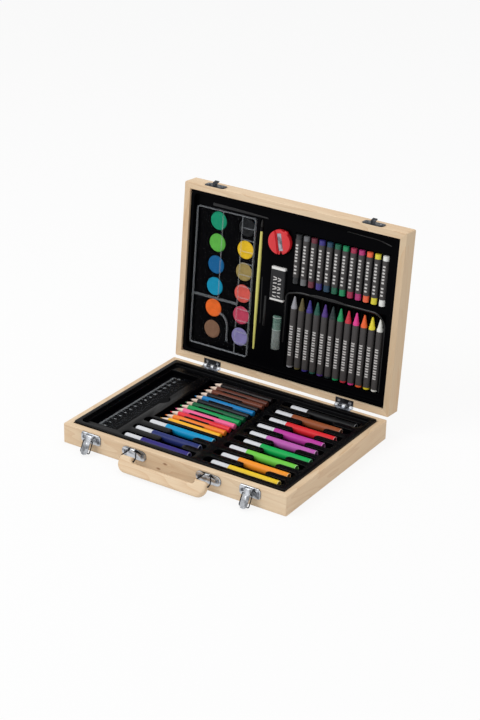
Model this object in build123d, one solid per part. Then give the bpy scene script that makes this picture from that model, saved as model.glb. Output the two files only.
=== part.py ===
"""A wooden art set box, standing open: a hinged pine case with two toggle latches and a swinging
carrying handle, whose base and lid each hold a moulded tray of drawing and painting supplies.

Millimetres. The origin is the middle of the case's underside, +X to the right, +Y to the hinges,
+Z up. The lid is drawn lying on its back in a frame of its own, with z = 0 on its outer face, its
hinge edge at -Y and its rim up, and is then turned over and opened about the hinge pins.
"""

import os
from math import acos, atan, cos, degrees, radians, sin

from build123d import *

# Case
case_length = 300.0
case_width = 223.0
base_height = 24.0
lid_height = 22.0
board_thickness = 8.0
panel_thickness = 3.0
panel_lap = 4.0
case_corner_radius = 2.0
case_edge_radius = 0.7
rim_gap = 1.0
lid_open_angle = 94.5

# Hinges
hinge_left_from_end = 55.0
hinge_right_from_end = 59.0
hinge_width = 24.0
hinge_leaf_thickness = 0.8
hinge_leaf_sunk = 0.4
hinge_leaf_back_gap = 0.3
hinge_leaf_front_gap = 0.8
hinge_screw_spacing = 15.0
knuckle_radius = 1.5
knuckle_case_gap = 0.2
knuckle_count = 5
knuckle_gap = 0.15
hinge_pin_radius = 0.8
heel_reach = 3.3
heel_thickness = 0.8
heel_angle = -55.0
heel_gap = 0.3

# Screws, and the clearance of a pin or wire that turns in a hole
screw_shank_radius = 1.1
screw_head_radius = 2.1
screw_head_height = 0.9
screw_length = 6.0
screw_dome_radius = 0.6
screw_slot_width = 0.5
screw_slot_length = 2.8
screw_slot_depth = 0.35
screw_hole_gap = 0.1
turning_gap = 0.05

# Toggle latches on the base
latch_left_from_end = 40.0
latch_right_from_end = 46.0
latch_plate_width = 27.0
latch_plate_height = 12.5
latch_plate_below_rim = 1.5
fitting_sheet = 1.0
fitting_corner_radius = 3.5
latch_screw_spacing = 19.4
latch_pivot_below_rim = 3.8
latch_pivot_standoff = 3.6
latch_pin_radius = 0.8
latch_lug_radius = 2.1
latch_lug_gap = 0.3
lever_length = 21.5
lever_root_width = 8.0
lever_tip_width = 9.6
lever_sheet = 0.9
lever_angle = 29.0
lever_barrel_radius = 1.8
lever_cheek_length = 6.4
lever_cheek_depth = 2.4
bail_wire_radius = 0.6
bail_pivot_from_pin = 4.5
bail_pivot_behind_pin = 0.2
bail_length = 14.4
bail_lug_gap = 0.3

# Catches on the lid
catch_plate_height = 12.0
catch_rim_gap = 0.4
catch_hook_width = 6.0
catch_hook_low = 3.2
catch_hook_sheet = 1.1
catch_hook_throat = 3.4
catch_hook_lip = 4.6
catch_hook_flare = 1.8

# Carrying handle
handle_plate_width = 33.0
handle_plate_height = 12.5
handle_plate_below_rim = 2.3
handle_plate_corner_radius = 6.0
handle_screw_spacing = 23.0
handle_pivot_below_rim = 3.5
handle_pivot_standoff = 2.5
handle_barrel_width = 6.0
handle_barrel_radius = 1.9
link_wire_radius = 0.75
link_length = 13.8
link_barrel_gap = 0.55
link_shoulder = 4.5
link_end_gap = 0.45
grip_angle = 33.0
grip_table_gap = 0.2
grip_length = 116.0
grip_thickness = 9.0
grip_reach = 14.5
grip_ear_back = 4.5
grip_ear_width = 16.0
grip_hole_gap = 0.1
grip_finger_depth = 6.0
grip_outer_corner = 11.0
grip_inner_corner = 3.0
grip_ear_corner = 4.0
grip_edge_radius = 2.6

# Moulded trays
tray_wall = 1.0
tray_edge_gap = 0.5
tray_corner_radius = 3.0
base_tray_drop = 2.4
tray_border_corner_radius = 6.0
base_border_width = 5.5
base_border_height = 4.4
lid_border_width = 4.3
lid_border_height = 6.5
lid_tray_depth = 10.0
pocket_gap = 0.4

# Ruler and its pocket in the base
ruler_length = 164.0
ruler_width = 24.0
ruler_thickness = 2.0
ruler_corner_radius = 2.0
ruler_y = -1.0
ruler_hole_radius = 2.5
ruler_hole_from_end = 6.0
ruler_pocket_margin = 8.5
ruler_left_gap = 6.6
ruler_right_gap = 9.6
ruler_pocket_depth = 7.0
ruler_pocket_end_gap = 2.5
ruler_notch_radius = 10.0
ruler_notch_in = 3.3
ruler_notch_past_middle = 10.0

# Coloured pencils
pencil_count = 12
pencil_back_margin = 19.3
pencils_from_left_pens = 7.5
pencils_to_pens = 14.25
pencil_length = 83.3
pencil_radius = 3.5
pencil_lead_radius = 1.1
pencil_cone_length = 9.0
pencil_lead_cone_length = 3.0
pencil_lead_tip_radius = 0.4
pencil_sunk = 2.8
pencil_rest_from_tip = 23.3
pencil_rest_length = 33.3
pencil_trough_end_gap = 6.0
pencil_trough_depth = 12.0

# Felt pens
pen_length = 87.0
pen_radius = 5.0
pen_wall = 0.9
pen_neck_radius = 3.8
pen_neck_length = 11.0
pen_shoulder_thickness = 1.5
pen_cap_fit_gap = 0.2
pen_cap_wall = 0.7
pen_cap_length = 22.5
pen_cap_end = 1.2
pen_plug_length = 2.4
pen_plug_inset = 0.5
pen_nib_radius = 1.2
pen_nib_length = 8.0
pen_nib_out = 4.0
pen_nib_tip_length = 1.8
pen_nib_tip_radius = 0.6
pen_ink_gap = 0.9
pen_ink_from_shoulder = 4.0
pen_ink_from_plug = 6.1
pen_sunk = 4.4
pen_slot_slack = 0.6
pen_slot_end_gap = 3.4
pen_slot_corner_radius = 4.0
trench_width = 29.4
right_pens_least_margin = 6.7
right_pens_back_margin = 19.6
right_pens_front_margin = 20.2
right_pen_shifts = [8.1, 0.0, 4.4, 1.3, 4.1, 9.3, 3.8, 6.5, 6.8]
right_trench_from_caps = 41.0
left_pens_least_gap = 2.5
pen_groups_least_gap = 8.7
left_pens_front_margin = 18.4
left_pen_pitch = 21.7
left_pen_shifts = [4.1, 0.0, 0.0]
left_trench_from_caps = 41.0

# Watercolour palette in the lid
palette_margin = 7.05
palette_hinge_margin = 11.8
palette_top_margin = 20.2
palette_thickness = 7.5
palette_corner_radius = 3.0
paint_left_margin = 29.15
paint_right_margin = 14.15
paint_rows = 6
paint_foot_margin = 22.3
paint_top_margin = 14.7
paint_radius = 11.5
paint_thickness = 3.4
paint_cup_gap = 0.3
paint_cup_depth = 4.0
cover_gap = 0.3
cover_sheet = 1.0
cover_wall = 1.0
cover_wall_height = 2.4
cover_rib = 0.9
cover_rib_height = 1.6
cover_well_width = 17.5
cover_well_count = 12
cover_bar_from_foot = 62.5
cover_bar_width = 2.4
cover_line_from_left = 36.45

# Loose pieces in the lid
brush_left_of_middle = 44.2
brush_above_middle = 2.5
brush_palette_gap = 5.45
brush_length = 163.0
brush_radius = 2.0
brush_tail_radius = 1.3
brush_sunk = 0.5
ferrule_length = 5.0
bristle_length = 9.0
bristle_radius = 1.5
bristle_tip_radius = 0.5
sharpener_brush_gap = 10.5
sharpener_top_margin = 25.7
sharpener_radius = 15.0
sharpener_height = 10.0
sharpener_edge_radius = 0.8
sharpener_sunk = 5.0
sharpener_lean = 12.0
sharpener_blade_width = 6.5
sharpener_blade_length = 21.0
sharpener_blade_thickness = 0.5
sharpener_trough_width = 9.0
sharpener_trough_depth = 2.2
sharpener_bore_radius = 3.7
sharpener_bore_end_radius = 0.8
sharpener_screw_radius = 0.8
sharpener_screw_length = 2.4
sharpener_screw_head_radius = 1.6
sharpener_screw_head_height = 0.8
sharpener_screw_x = 2.25
eraser_right_of_sharpener = 1.0
eraser_sharpener_gap = 16.15
eraser_width = 19.5
eraser_length = 41.7
eraser_height = 11.0
eraser_sunk = 7.5
eraser_edge_radius = 1.2
eraser_bare_end = 2.9
eraser_sleeve_sheet = 0.35
glue_right_of_sharpener = 2.5
glue_eraser_gap = 19.15
glue_length = 42.0
glue_radius = 5.85
glue_wall = 0.9
glue_cap_length = 17.0
glue_sunk = 2.0
glue_stick_gap = 0.35
glue_stick_foot_gap = 2.1
glue_stick_out = 6.0

# Wax crayons and oil pastels
stick_count = 12
sticks_from_sharpener = 8.6
sticks_right_margin = 19.6
stick_radius = 3.75
wrapper_sheet = 0.25
crayon_hinge_margin = 14.3
crayon_length = 89.2
crayon_cone_length = 12.0
crayon_shoulder_length = 3.0
crayon_tip_radius = 1.1
crayon_bare_tail = 2.5
crayon_sunk = 2.5
crayon_recess_depth = 3.2
crayon_recess_side_gap = 3.0
crayon_recess_top_gap = 6.7
pastel_from_crayons = 16.7
pastel_length = 60.0
pastel_bare_foot = 8.0
pastel_bare_top = 5.5
pastel_sunk = 1.0
stick_end_gap = 2.0

# Levels and places that follow from the sizes above
inner_length = case_length - 2 * board_thickness
inner_width = case_width - 2 * board_thickness
hinge_axis_back = knuckle_radius + knuckle_case_gap
hinge_axis_y = case_width / 2 + hinge_axis_back
hinge_axis_up = rim_gap / 2
base_tray_z = base_height - base_tray_drop
lid_tray_z = panel_thickness + lid_tray_depth
deepest_pocket_z = panel_thickness + tray_wall
wrapper_radius = stick_radius + wrapper_sheet

left_end, right_end = -case_length / 2, case_length / 2
hinges_x = {"left": left_end + hinge_left_from_end, "right": right_end - hinge_right_from_end}
latches_x = {"left": left_end + latch_left_from_end, "right": right_end - latch_right_from_end}
latch_plate_low_z = base_height - latch_plate_below_rim - latch_plate_height
latch_pivot_z = base_height - latch_pivot_below_rim
handle_plate_low_z = base_height - handle_plate_below_rim - handle_plate_height
handle_pivot_z = base_height - handle_pivot_below_rim
handle_plate_spacing = grip_length - grip_ear_width
grip_lean = radians(grip_angle)
grip_edge_down = (grip_reach - grip_edge_radius) * cos(grip_lean)
grip_face_down = (grip_thickness / 2 - grip_edge_radius) * sin(grip_lean)
link_bar_z = grip_table_gap + grip_edge_down + grip_face_down + grip_edge_radius
link_angle = degrees(acos((handle_pivot_z - link_bar_z) / link_length))

left_wall, right_wall = -inner_length / 2, inner_length / 2
front_wall, back_wall = -inner_width / 2, inner_width / 2
ruler_pocket_width = ruler_left_gap + ruler_width + ruler_right_gap
left_pens_width = pen_length + max(left_pen_shifts)
right_pens_width = pen_length + max(right_pen_shifts)
base_pieces_length = ruler_pocket_margin + ruler_pocket_width + left_pens_width + right_pens_width
base_least_gaps = left_pens_least_gap + pen_groups_least_gap + right_pens_least_margin
spare_in_each_gap = (inner_length - base_pieces_length - base_least_gaps) / 3
ruler_pocket_left = left_wall + ruler_pocket_margin
ruler_x = ruler_pocket_left + ruler_left_gap + ruler_width / 2
ruler_pocket_right = ruler_pocket_left + ruler_pocket_width
left_pens_x = ruler_pocket_right + left_pens_least_gap + spare_in_each_gap
left_pens_last_y = front_wall + left_pens_front_margin
left_pens_first_y = left_pens_last_y + left_pen_pitch * (len(left_pen_shifts) - 1)
pencil_tip_x = left_pens_x + pencils_from_left_pens
pencil_first_y = back_wall - pencil_back_margin
pencil_last_y = left_pens_first_y + pencils_to_pens
right_pens_x = left_pens_x + left_pens_width + pen_groups_least_gap + spare_in_each_gap
right_pens_first_y = back_wall - right_pens_back_margin
right_pens_last_y = front_wall + right_pens_front_margin
pen_bore_radius = pen_radius - pen_wall
pen_cap_bore_radius = pen_neck_radius + pen_cap_fit_gap
pen_cap_radius = pen_cap_bore_radius + pen_cap_wall

hinge_wall = front_wall
brush_x = -brush_left_of_middle
brush_tail_y = brush_above_middle - brush_length / 2
palette_left = left_wall + palette_margin
palette_right = brush_x - brush_radius - brush_palette_gap
palette_foot = hinge_wall + palette_hinge_margin
palette_top = back_wall - palette_top_margin
palette_width, palette_length = palette_right - palette_left, palette_top - palette_foot
sharpener_x = brush_x + brush_radius + sharpener_brush_gap + sharpener_radius
sharpener_y = back_wall - sharpener_top_margin - sharpener_radius
eraser_x = sharpener_x + eraser_right_of_sharpener
eraser_y = sharpener_y - sharpener_radius - eraser_sharpener_gap - eraser_length / 2
glue_x = sharpener_x + glue_right_of_sharpener
glue_top_y = eraser_y - eraser_length / 2 - glue_eraser_gap
crayon_foot = hinge_wall + crayon_hinge_margin
crayon_top_y = crayon_foot + crayon_length
pastel_foot = crayon_top_y + pastel_from_crayons
pastel_top_y = pastel_foot + pastel_length

hinge_axis = Pos(0, hinge_axis_y, base_height + hinge_axis_up)
lid_closed = Pos(0, 0, base_height + rim_gap + lid_height) * Rot(180, 0, 0)
lid_open = hinge_axis * Rot(-lid_open_angle, 0, 0) * hinge_axis.inverse() * lid_closed

nodes = {}


def box(x0, x1, y0, y1, z0, z1):
    """A box between two corners."""
    return Pos((x0 + x1) / 2, (y0 + y1) / 2, (z0 + z1) / 2) * Box(x1 - x0, y1 - y0, z1 - z0)


def rod_x(radius, x0, x1, y=0.0, z=0.0, end_radius=None):
    """A rod along X from x0 up to x1, or a cone when its far end has another radius."""
    place = Pos((x0 + x1) / 2, y, z) * Rot(0, 90, 0)
    if end_radius is None:
        return place * Cylinder(radius, x1 - x0)
    return place * Cone(radius, end_radius, x1 - x0)


def rod_y(radius, y0, y1, x=0.0, z=0.0, end_radius=None):
    """A rod along Y from y0 up to y1, or a cone."""
    return Pos(x, 0, z) * Rot(0, 0, 90) * rod_x(radius, y0, y1, 0, 0, end_radius)


def keep(name, shape, place=None):
    """Put a finished piece in place under its node's name."""
    nodes[name] = shape if place is None else place * shape


def keep_all(name, shapes):
    """Keep several alike pieces as one node of separate solids."""
    nodes[name] = Compound(children=[solid for shape in shapes for solid in shape.solids()])


def on_base_front(x):
    """A fitting's frame on the base's front: x right, y up from the underside, z out of the face."""
    return Pos(x, -case_width / 2, 0) * Rot(90, 0, 0)


def on_lid_front(x):
    """The same frame on the lid's front, with y up from its rim when the lid is shut."""
    return Pos(x, case_width / 2, lid_height) * Rot(-90, 0, 0)


def domed_screw():
    """A screw along -Z with its domed head's underside at z = 0."""
    head = Pos(0, 0, screw_head_height / 2) * Cylinder(screw_head_radius, screw_head_height)
    head = fillet(head.edges().filter_by(GeomType.CIRCLE).sort_by(Axis.Z)[-1:], screw_dome_radius)
    head -= Pos(0, 0, screw_head_height) * screw_slot()
    return head + Pos(0, 0, -screw_length / 2) * Cylinder(screw_shank_radius, screw_length)


def screw_slot():
    """The slot of a screw head whose top is at z = 0."""
    return Box(screw_slot_length, screw_slot_width, 2 * screw_slot_depth)


def countersink():
    """The head of a screw that lies flush in a hinge leaf, its top at z = 0."""
    cone = Cone(screw_shank_radius, screw_head_radius, hinge_leaf_thickness)
    return Pos(0, 0, -hinge_leaf_thickness / 2) * cone


def flush_screw():
    """A screw along -Z with its countersunk head's top at z = 0."""
    shank = Pos(0, 0, -screw_length / 2) * Cylinder(screw_shank_radius, screw_length)
    return countersink() + shank - screw_slot()


def screw_pair(spacing, height, level):
    """The places of a fitting's two screws."""
    return [Pos(side * spacing / 2, height, level) for side in (-1, 1)]


def pilot_hole(below):
    """What a screw's shank takes out of the wood under a fitting."""
    return Pos(0, 0, -below / 2) * Cylinder(screw_shank_radius, below)


def wire(points, radius):
    """Round wire through points in straight runs with ball corners."""
    whole = Pos(*points[0]) * Sphere(radius)
    for start, end in zip(points, points[1:]):
        run = Vector(*end) - Vector(*start)
        along = Plane(origin=start, z_dir=run.normalized())
        whole += along * Pos(0, 0, run.length / 2) * Cylinder(radius, run.length)
        whole += Pos(*end) * Sphere(radius)
    return whole


def case_frame(height):
    """The four boards of one half as a ring, rim up, with a lap for its panel."""
    ring = extrude(RectangleRounded(case_length, case_width, case_corner_radius), height)
    ring = fillet(ring.edges().filter_by(Plane.XY), case_edge_radius)
    ring -= extrude(Rectangle(inner_length, inner_width), height)
    return ring - panel()


def panel():
    """The thin panel that closes one half of the case."""
    return extrude(Rectangle(inner_length + 2 * panel_lap, inner_width + 2 * panel_lap), panel_thickness)


def mitred_board(ring, height, side):
    """One board of the ring, cut at 45 degrees at its corners."""
    half_x, half_y, t = case_length / 2, case_width / 2, board_thickness
    low_y = [(-half_x, -half_y), (half_x, -half_y), (half_x - t, t - half_y), (t - half_x, t - half_y)]
    left = [(-half_x, -half_y), (t - half_x, t - half_y), (t - half_x, half_y - t), (-half_x, half_y)]
    outlines = {
        "low_y": low_y,
        "high_y": [(x, -y) for x, y in low_y],
        "left": left,
        "right": [(-x, y) for x, y in left],
    }
    return ring & extrude(make_face(Polyline(*outlines[side], close=True)), height)


def hinge_seats(y_side, height):
    """The shallow seats of both hinge leaves in one rim, with the pilot holes of their screws."""
    edge = y_side * case_width / 2
    inner = edge - y_side * board_thickness
    cuts = []
    for x in hinges_x.values():
        low, high = sorted((edge, inner))
        x0, x1 = x - hinge_width / 2, x + hinge_width / 2
        cuts.append(box(x0, x1, low, high, height - hinge_leaf_sunk, height))
        for place in screw_pair(hinge_screw_spacing, (edge + inner) / 2, height):
            cuts.append(Pos(x, 0, 0) * place * pilot_hole(screw_length))
    return cuts


def knuckle_spans(first):
    """The x spans of every other knuckle of a hinge, from the first or the second."""
    step = hinge_width / knuckle_count
    starts = [-hinge_width / 2 + step * i for i in range(first, knuckle_count, 2)]
    return [(x + knuckle_gap / 2, x + step - knuckle_gap / 2) for x in starts]


def hinge_leaf(spans, bore_radius, heels):
    """A leaf about the pin's axis, lying to -Y on its rim with its wood side down."""
    under = -hinge_axis_up - hinge_leaf_sunk
    top = under + hinge_leaf_thickness
    front = hinge_leaf_front_gap - hinge_axis_back - board_thickness
    back = -hinge_axis_back - hinge_leaf_back_gap
    leaf = box(-hinge_width / 2, hinge_width / 2, front, back, under, top)
    for x0, x1 in spans:
        leaf += box(x0, x1, back, 0, under, top) + rod_x(knuckle_radius, x0, x1)
    leaf = leaf + heels - rod_x(bore_radius, -hinge_width, hinge_width)
    middle = -hinge_axis_back - board_thickness / 2
    for place in screw_pair(hinge_screw_spacing, middle, top):
        leaf -= place * countersink()
    return leaf


def heel(x0, x1, inner, angle):
    """A heel that stands out from the knuckles, at an angle up from straight back."""
    half = heel_thickness / 2
    return Rot(angle, 0, 0) * box(x0, x1, inner, heel_reach, -half, half)


def make_hinges():
    """Two stop hinges: a heel of the lid's leaf meets one of the base's when the lid is open."""
    base_spans, lid_spans = knuckle_spans(0), knuckle_spans(1)
    inside_knuckle = (hinge_pin_radius + knuckle_radius) / 2
    over_knuckle = knuckle_radius + heel_gap
    meeting = 2 * degrees(atan((heel_thickness + heel_gap) / 2 / over_knuckle))
    middle = len(base_spans) // 2
    base_heels = heel(*base_spans[middle], inside_knuckle, heel_angle)
    turned = -(heel_angle + meeting + lid_open_angle)
    lid_heels = heel(lid_spans[0][0], lid_spans[-1][1], over_knuckle, turned)
    for span in lid_spans:
        lid_heels += heel(*span, inside_knuckle, turned)
    base_leaf = hinge_leaf(base_spans, hinge_pin_radius, base_heels)
    lid_leaf = hinge_leaf(lid_spans, hinge_pin_radius + turning_gap, lid_heels)
    leaf_top = hinge_leaf_thickness - hinge_leaf_sunk
    rim_middle = case_width / 2 - board_thickness / 2
    screw = flush_screw()
    pins, base_screws, lid_screws = [], [], []
    for side, x in hinges_x.items():
        place = Pos(x, 0, 0) * hinge_axis
        keep(f"hinge_base_leaf_{side}", base_leaf, place)
        pins.append(place * rod_x(hinge_pin_radius, -hinge_width / 2, hinge_width / 2))
        lid_place = Pos(x, -hinge_axis_y, lid_height + hinge_axis_up) * Rot(0, 0, 180)
        keep(f"hinge_lid_leaf_{side}", lid_leaf, lid_open * lid_place)
        for spot in screw_pair(hinge_screw_spacing, rim_middle, base_height + leaf_top):
            base_screws.append(Pos(x, 0, 0) * spot * screw)
        for spot in screw_pair(hinge_screw_spacing, -rim_middle, lid_height + leaf_top):
            lid_screws.append(lid_open * Pos(x, 0, 0) * spot * screw)
    keep_all("hinge_pins", pins)
    keep_all("hinge_base_screws", base_screws)
    keep_all("hinge_lid_screws", lid_screws)


def make_case():
    """Both halves of the case, with the seats and holes that their fittings need."""
    plate_middle = latch_plate_low_z + latch_plate_height / 2
    handle_middle = handle_plate_low_z + handle_plate_height / 2
    base_cuts = hinge_seats(1, base_height)
    for x in latches_x.values():
        for place in screw_pair(latch_screw_spacing, plate_middle, 0):
            base_cuts.append(on_base_front(x) * place * pilot_hole(screw_length))
    for side in (-1, 1):
        for place in screw_pair(handle_screw_spacing, handle_middle, 0):
            front = on_base_front(side * handle_plate_spacing / 2)
            base_cuts.append(front * place * pilot_hole(screw_length))
    ring = case_frame(base_height) - base_cuts
    for name, side in (("front", "low_y"), ("back", "high_y"), ("left", "left"), ("right", "right")):
        keep(f"base_{name}_board", mitred_board(ring, base_height, side))
    keep("base_bottom_panel", panel())

    lid_cuts = hinge_seats(-1, lid_height)
    for x in latches_x.values():
        for place in screw_pair(latch_screw_spacing, catch_rim_gap + catch_plate_height / 2, 0):
            lid_cuts.append(on_lid_front(x) * place * pilot_hole(screw_length))
    ring = case_frame(lid_height) - lid_cuts
    for name, side in (("front", "high_y"), ("back", "low_y"), ("left", "left"), ("right", "right")):
        keep(f"lid_{name}_board", mitred_board(ring, lid_height, side), lid_open)
    keep("lid_top_panel", panel(), lid_open)


def fitting_plate(width, height, corner, low, screw_spacing):
    """A flat plate with rounded corners and two screw holes, its back on the wood."""
    middle = low + height / 2
    plate = Pos(0, middle, 0) * extrude(RectangleRounded(width, height, corner), fitting_sheet)
    for place in screw_pair(screw_spacing, middle, fitting_sheet / 2):
        plate -= place * Cylinder(screw_shank_radius + screw_hole_gap, 2 * fitting_sheet)
    return plate


def latch_plate():
    """The latch's plate with the two lugs that hold its pin."""
    plate = fitting_plate(latch_plate_width, latch_plate_height, fitting_corner_radius,
                          latch_plate_low_z, latch_screw_spacing)
    inner = lever_root_width / 2 + latch_lug_gap
    outer = inner + fitting_sheet
    for x0, x1 in ((-outer, -inner), (inner, outer)):
        low, high = latch_pivot_z - latch_lug_radius, latch_pivot_z + latch_lug_radius
        plate += box(x0, x1, low, high, 0, latch_pivot_standoff)
        plate += rod_x(latch_lug_radius, x0, x1, latch_pivot_z, latch_pivot_standoff)
    return plate - rod_x(latch_pin_radius, -outer, outer, latch_pivot_z, latch_pivot_standoff)


def latch_lever():
    """The lever about its pin, hanging straight down with its tongue outwards."""
    root, tip = lever_root_width / 2, lever_tip_width / 2
    tip_y = tip - lever_length
    outline = make_face(Polyline((-root, 0), (-tip, tip_y), (tip, tip_y), (root, 0), close=True))
    outline += Pos(0, tip_y) * Circle(tip)
    under = lever_barrel_radius - lever_sheet
    lever = Pos(0, 0, under) * extrude(outline, lever_sheet)
    lever += rod_x(lever_barrel_radius, -root, root)
    for x0, x1 in ((-root, lever_sheet - root), (root - lever_sheet, root)):
        lever += box(x0, x1, -lever_cheek_length, 0, under - lever_cheek_depth, under + lever_sheet / 2)
    lever -= rod_x(latch_pin_radius + turning_gap, -lever_root_width, lever_root_width)
    hole = bail_wire_radius + turning_gap
    return lever - rod_x(hole, -root, root, -bail_pivot_from_pin, -bail_pivot_behind_pin)


def latch_bail():
    """The wire loop that hangs behind the lever's tongue from the holes in its cheeks."""
    lug_outside = lever_root_width / 2 + latch_lug_gap + fitting_sheet
    half = lug_outside + bail_lug_gap + bail_wire_radius
    inside = lever_root_width / 2 - lever_sheet
    start, end, level = -bail_pivot_from_pin, -bail_pivot_from_pin - bail_length, -bail_pivot_behind_pin
    points = [(-inside, start), (-half, start), (-half, end), (half, end), (half, start), (inside, start)]
    return wire([(x, y, level) for x, y in points], bail_wire_radius)


def catch():
    """The lid's plate with the hook that the bail pulls on."""
    plate = fitting_plate(latch_plate_width, catch_plate_height, fitting_corner_radius,
                          catch_rim_gap, latch_screw_spacing)
    low, shelf = catch_hook_low, catch_hook_low + catch_hook_sheet
    top = shelf + catch_hook_lip
    throat, outer = catch_hook_throat, catch_hook_throat + catch_hook_sheet
    root = fitting_sheet / 2
    section = [(low, root), (low, outer), (top, outer + catch_hook_flare),
               (top, throat + catch_hook_flare), (shelf, throat), (shelf, root)]
    face = Plane.YZ * make_face(Polyline(*section, close=True))
    return plate + extrude(face, catch_hook_width / 2, both=True)


def make_latches():
    """A latch on the base and a catch on the lid at each end of the front."""
    plate, lever, bail, hook, screw = latch_plate(), latch_lever(), latch_bail(), catch(), domed_screw()
    plate_middle = latch_plate_low_z + latch_plate_height / 2
    catch_middle = catch_rim_gap + catch_plate_height / 2
    pin_reach = lever_root_width / 2 + latch_lug_gap + fitting_sheet
    pins, catches, base_screws, lid_screws = [], [], [], []
    for side, x in latches_x.items():
        front, lid_front = on_base_front(x), lid_open * on_lid_front(x)
        pivot = front * Pos(0, latch_pivot_z, latch_pivot_standoff)
        hanging = pivot * Rot(-lever_angle, 0, 0)
        keep(f"latch_plate_{side}", plate, front)
        pins.append(pivot * rod_x(latch_pin_radius, -pin_reach, pin_reach))
        keep(f"latch_lever_{side}", lever, hanging)
        keep(f"latch_bail_{side}", bail, hanging)
        catches.append(lid_front * hook)
        for spot in screw_pair(latch_screw_spacing, plate_middle, fitting_sheet):
            base_screws.append(front * spot * screw)
        for spot in screw_pair(latch_screw_spacing, catch_middle, fitting_sheet):
            lid_screws.append(lid_front * spot * screw)
    keep_all("latch_pins", pins)
    keep_all("catches", catches)
    keep_all("latch_plate_screws", base_screws)
    keep_all("catch_screws", lid_screws)


def handle_plate():
    """A plate with the barrel that the handle's wire link turns in."""
    plate = fitting_plate(handle_plate_width, handle_plate_height, handle_plate_corner_radius,
                          handle_plate_low_z, handle_screw_spacing)
    half, y, z = handle_barrel_width / 2, handle_pivot_z, handle_pivot_standoff
    plate += box(-half, half, y - handle_barrel_radius, y + handle_barrel_radius / 2, 0, z)
    plate += rod_x(handle_barrel_radius, -half, half, y, z)
    return plate - rod_x(link_wire_radius + turning_gap, -half, half, y, z)


def handle_link():
    """A closed wire triangle that hangs from its barrel and carries one end of the grip."""
    top = handle_barrel_width / 2 + link_barrel_gap + link_wire_radius
    bottom = grip_ear_width / 2 + link_end_gap + link_wire_radius
    foot, shoulder = -link_length, link_shoulder - link_length
    points = [(-top, 0), (-bottom, shoulder), (-bottom, foot), (bottom, foot), (bottom, shoulder),
              (top, 0), (-top, 0)]
    return wire([(x, y, 0) for x, y in points], link_wire_radius)


def handle_grip():
    """The wooden grip about its links' bars, its outer edge towards -Y."""
    depth = grip_ear_back + grip_reach
    outline = Pos(0, (grip_ear_back - grip_reach) / 2) * Rectangle(grip_length, depth)
    corners = outline.vertices().sort_by(Axis.Y)
    outline = fillet(corners[:2], grip_outer_corner)
    outline = fillet(outline.vertices().sort_by(Axis.Y)[-2:], grip_ear_corner)
    finger_width = grip_length - 2 * grip_ear_width
    finger = Pos(0, grip_ear_back) * RectangleRounded(finger_width, 2 * grip_finger_depth, grip_inner_corner)
    body = Pos(0, 0, -grip_thickness / 2) * extrude(outline - finger, grip_thickness)
    body = fillet(body.edges().filter_by(Plane.XY), grip_edge_radius)
    return body - rod_x(link_wire_radius + grip_hole_gap, -grip_length, grip_length)


def make_handle():
    """The handle: a grip on two wire links, let down so that its edge is at the table."""
    plate, link, screw = handle_plate(), handle_link(), domed_screw()
    hanging = Pos(0, handle_pivot_z, handle_pivot_standoff) * Rot(-link_angle, 0, 0)
    plate_middle = handle_plate_low_z + handle_plate_height / 2
    plates, links, screws = [], [], []
    for side in (-1, 1):
        front = on_base_front(side * handle_plate_spacing / 2)
        plates.append(front * plate)
        links.append(front * hanging * link)
        for spot in screw_pair(handle_screw_spacing, plate_middle, fitting_sheet):
            screws.append(front * spot * screw)
    keep_all("handle_plates", plates)
    keep_all("handle_links", links)
    keep_all("handle_plate_screws", screws)
    bar = on_base_front(0) * hanging * Pos(0, -link_length, 0)
    keep("handle_grip", handle_grip(), bar * Rot(link_angle - grip_angle, 0, 0))


def pocket(x0, x1, y0, y1, floor, top):
    """A box pocket as the space inside it and the tub around it."""
    w = tray_wall
    return box(x0, x1, y0, y1, floor, top + w), box(x0 - w, x1 + w, y0 - w, y1 + w, floor - w, top)


def trough_x(radius, x0, x1, y, z, top):
    """A round-bottomed pocket along X."""
    w = tray_wall
    space = rod_x(radius, x0, x1, y, z) + box(x0, x1, y - radius, y + radius, z, top + w)
    outer = radius + w
    tub = rod_x(outer, x0 - w, x1 + w, y, z) + box(x0 - w, x1 + w, y - outer, y + outer, z, top)
    return space, tub & box(x0 - w, x1 + w, y - outer, y + outer, z - outer, top)


def trough_y(radius, y0, y1, x, z, top):
    """A round-bottomed pocket along Y."""
    turn = Rot(0, 0, 90)
    return tuple(turn * part for part in trough_x(radius, y0, y1, -x, z, top))


def round_pocket(radius, x, y, floor, top):
    """A round pocket."""
    w = tray_wall
    space = Pos(x, y, (floor + top + w) / 2) * Cylinder(radius, top + w - floor)
    return space, Pos(x, y, (floor - w + top) / 2) * Cylinder(radius + w, top - floor + w)


def bordered_flange(top, border_width, border_height):
    """A tray's top sheet with a border raised around it, a channel open below."""
    w = tray_wall

    def outline(inset, radius):
        edge = tray_edge_gap + inset
        return RectangleRounded(inner_length - 2 * edge, inner_width - 2 * edge, radius)

    def inside(grow):
        return outline(border_width - grow, tray_border_corner_radius + grow)

    border = extrude(outline(0, tray_corner_radius) - inside(0), border_height + w)
    border -= extrude(outline(w, tray_corner_radius - w) - inside(w), border_height)
    return Pos(0, 0, top - w) * (border + extrude(inside(w / 2), w))


def moulded_tray(flange, pockets):
    """A flange with thin-walled tubs below it."""
    return flange + [tub for _, tub in pockets] - [space for space, _ in pockets]


def row(first, last, count):
    """Evenly spaced places from the first to the last."""
    return [first + (last - first) * i / (count - 1) for i in range(count)]


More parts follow.
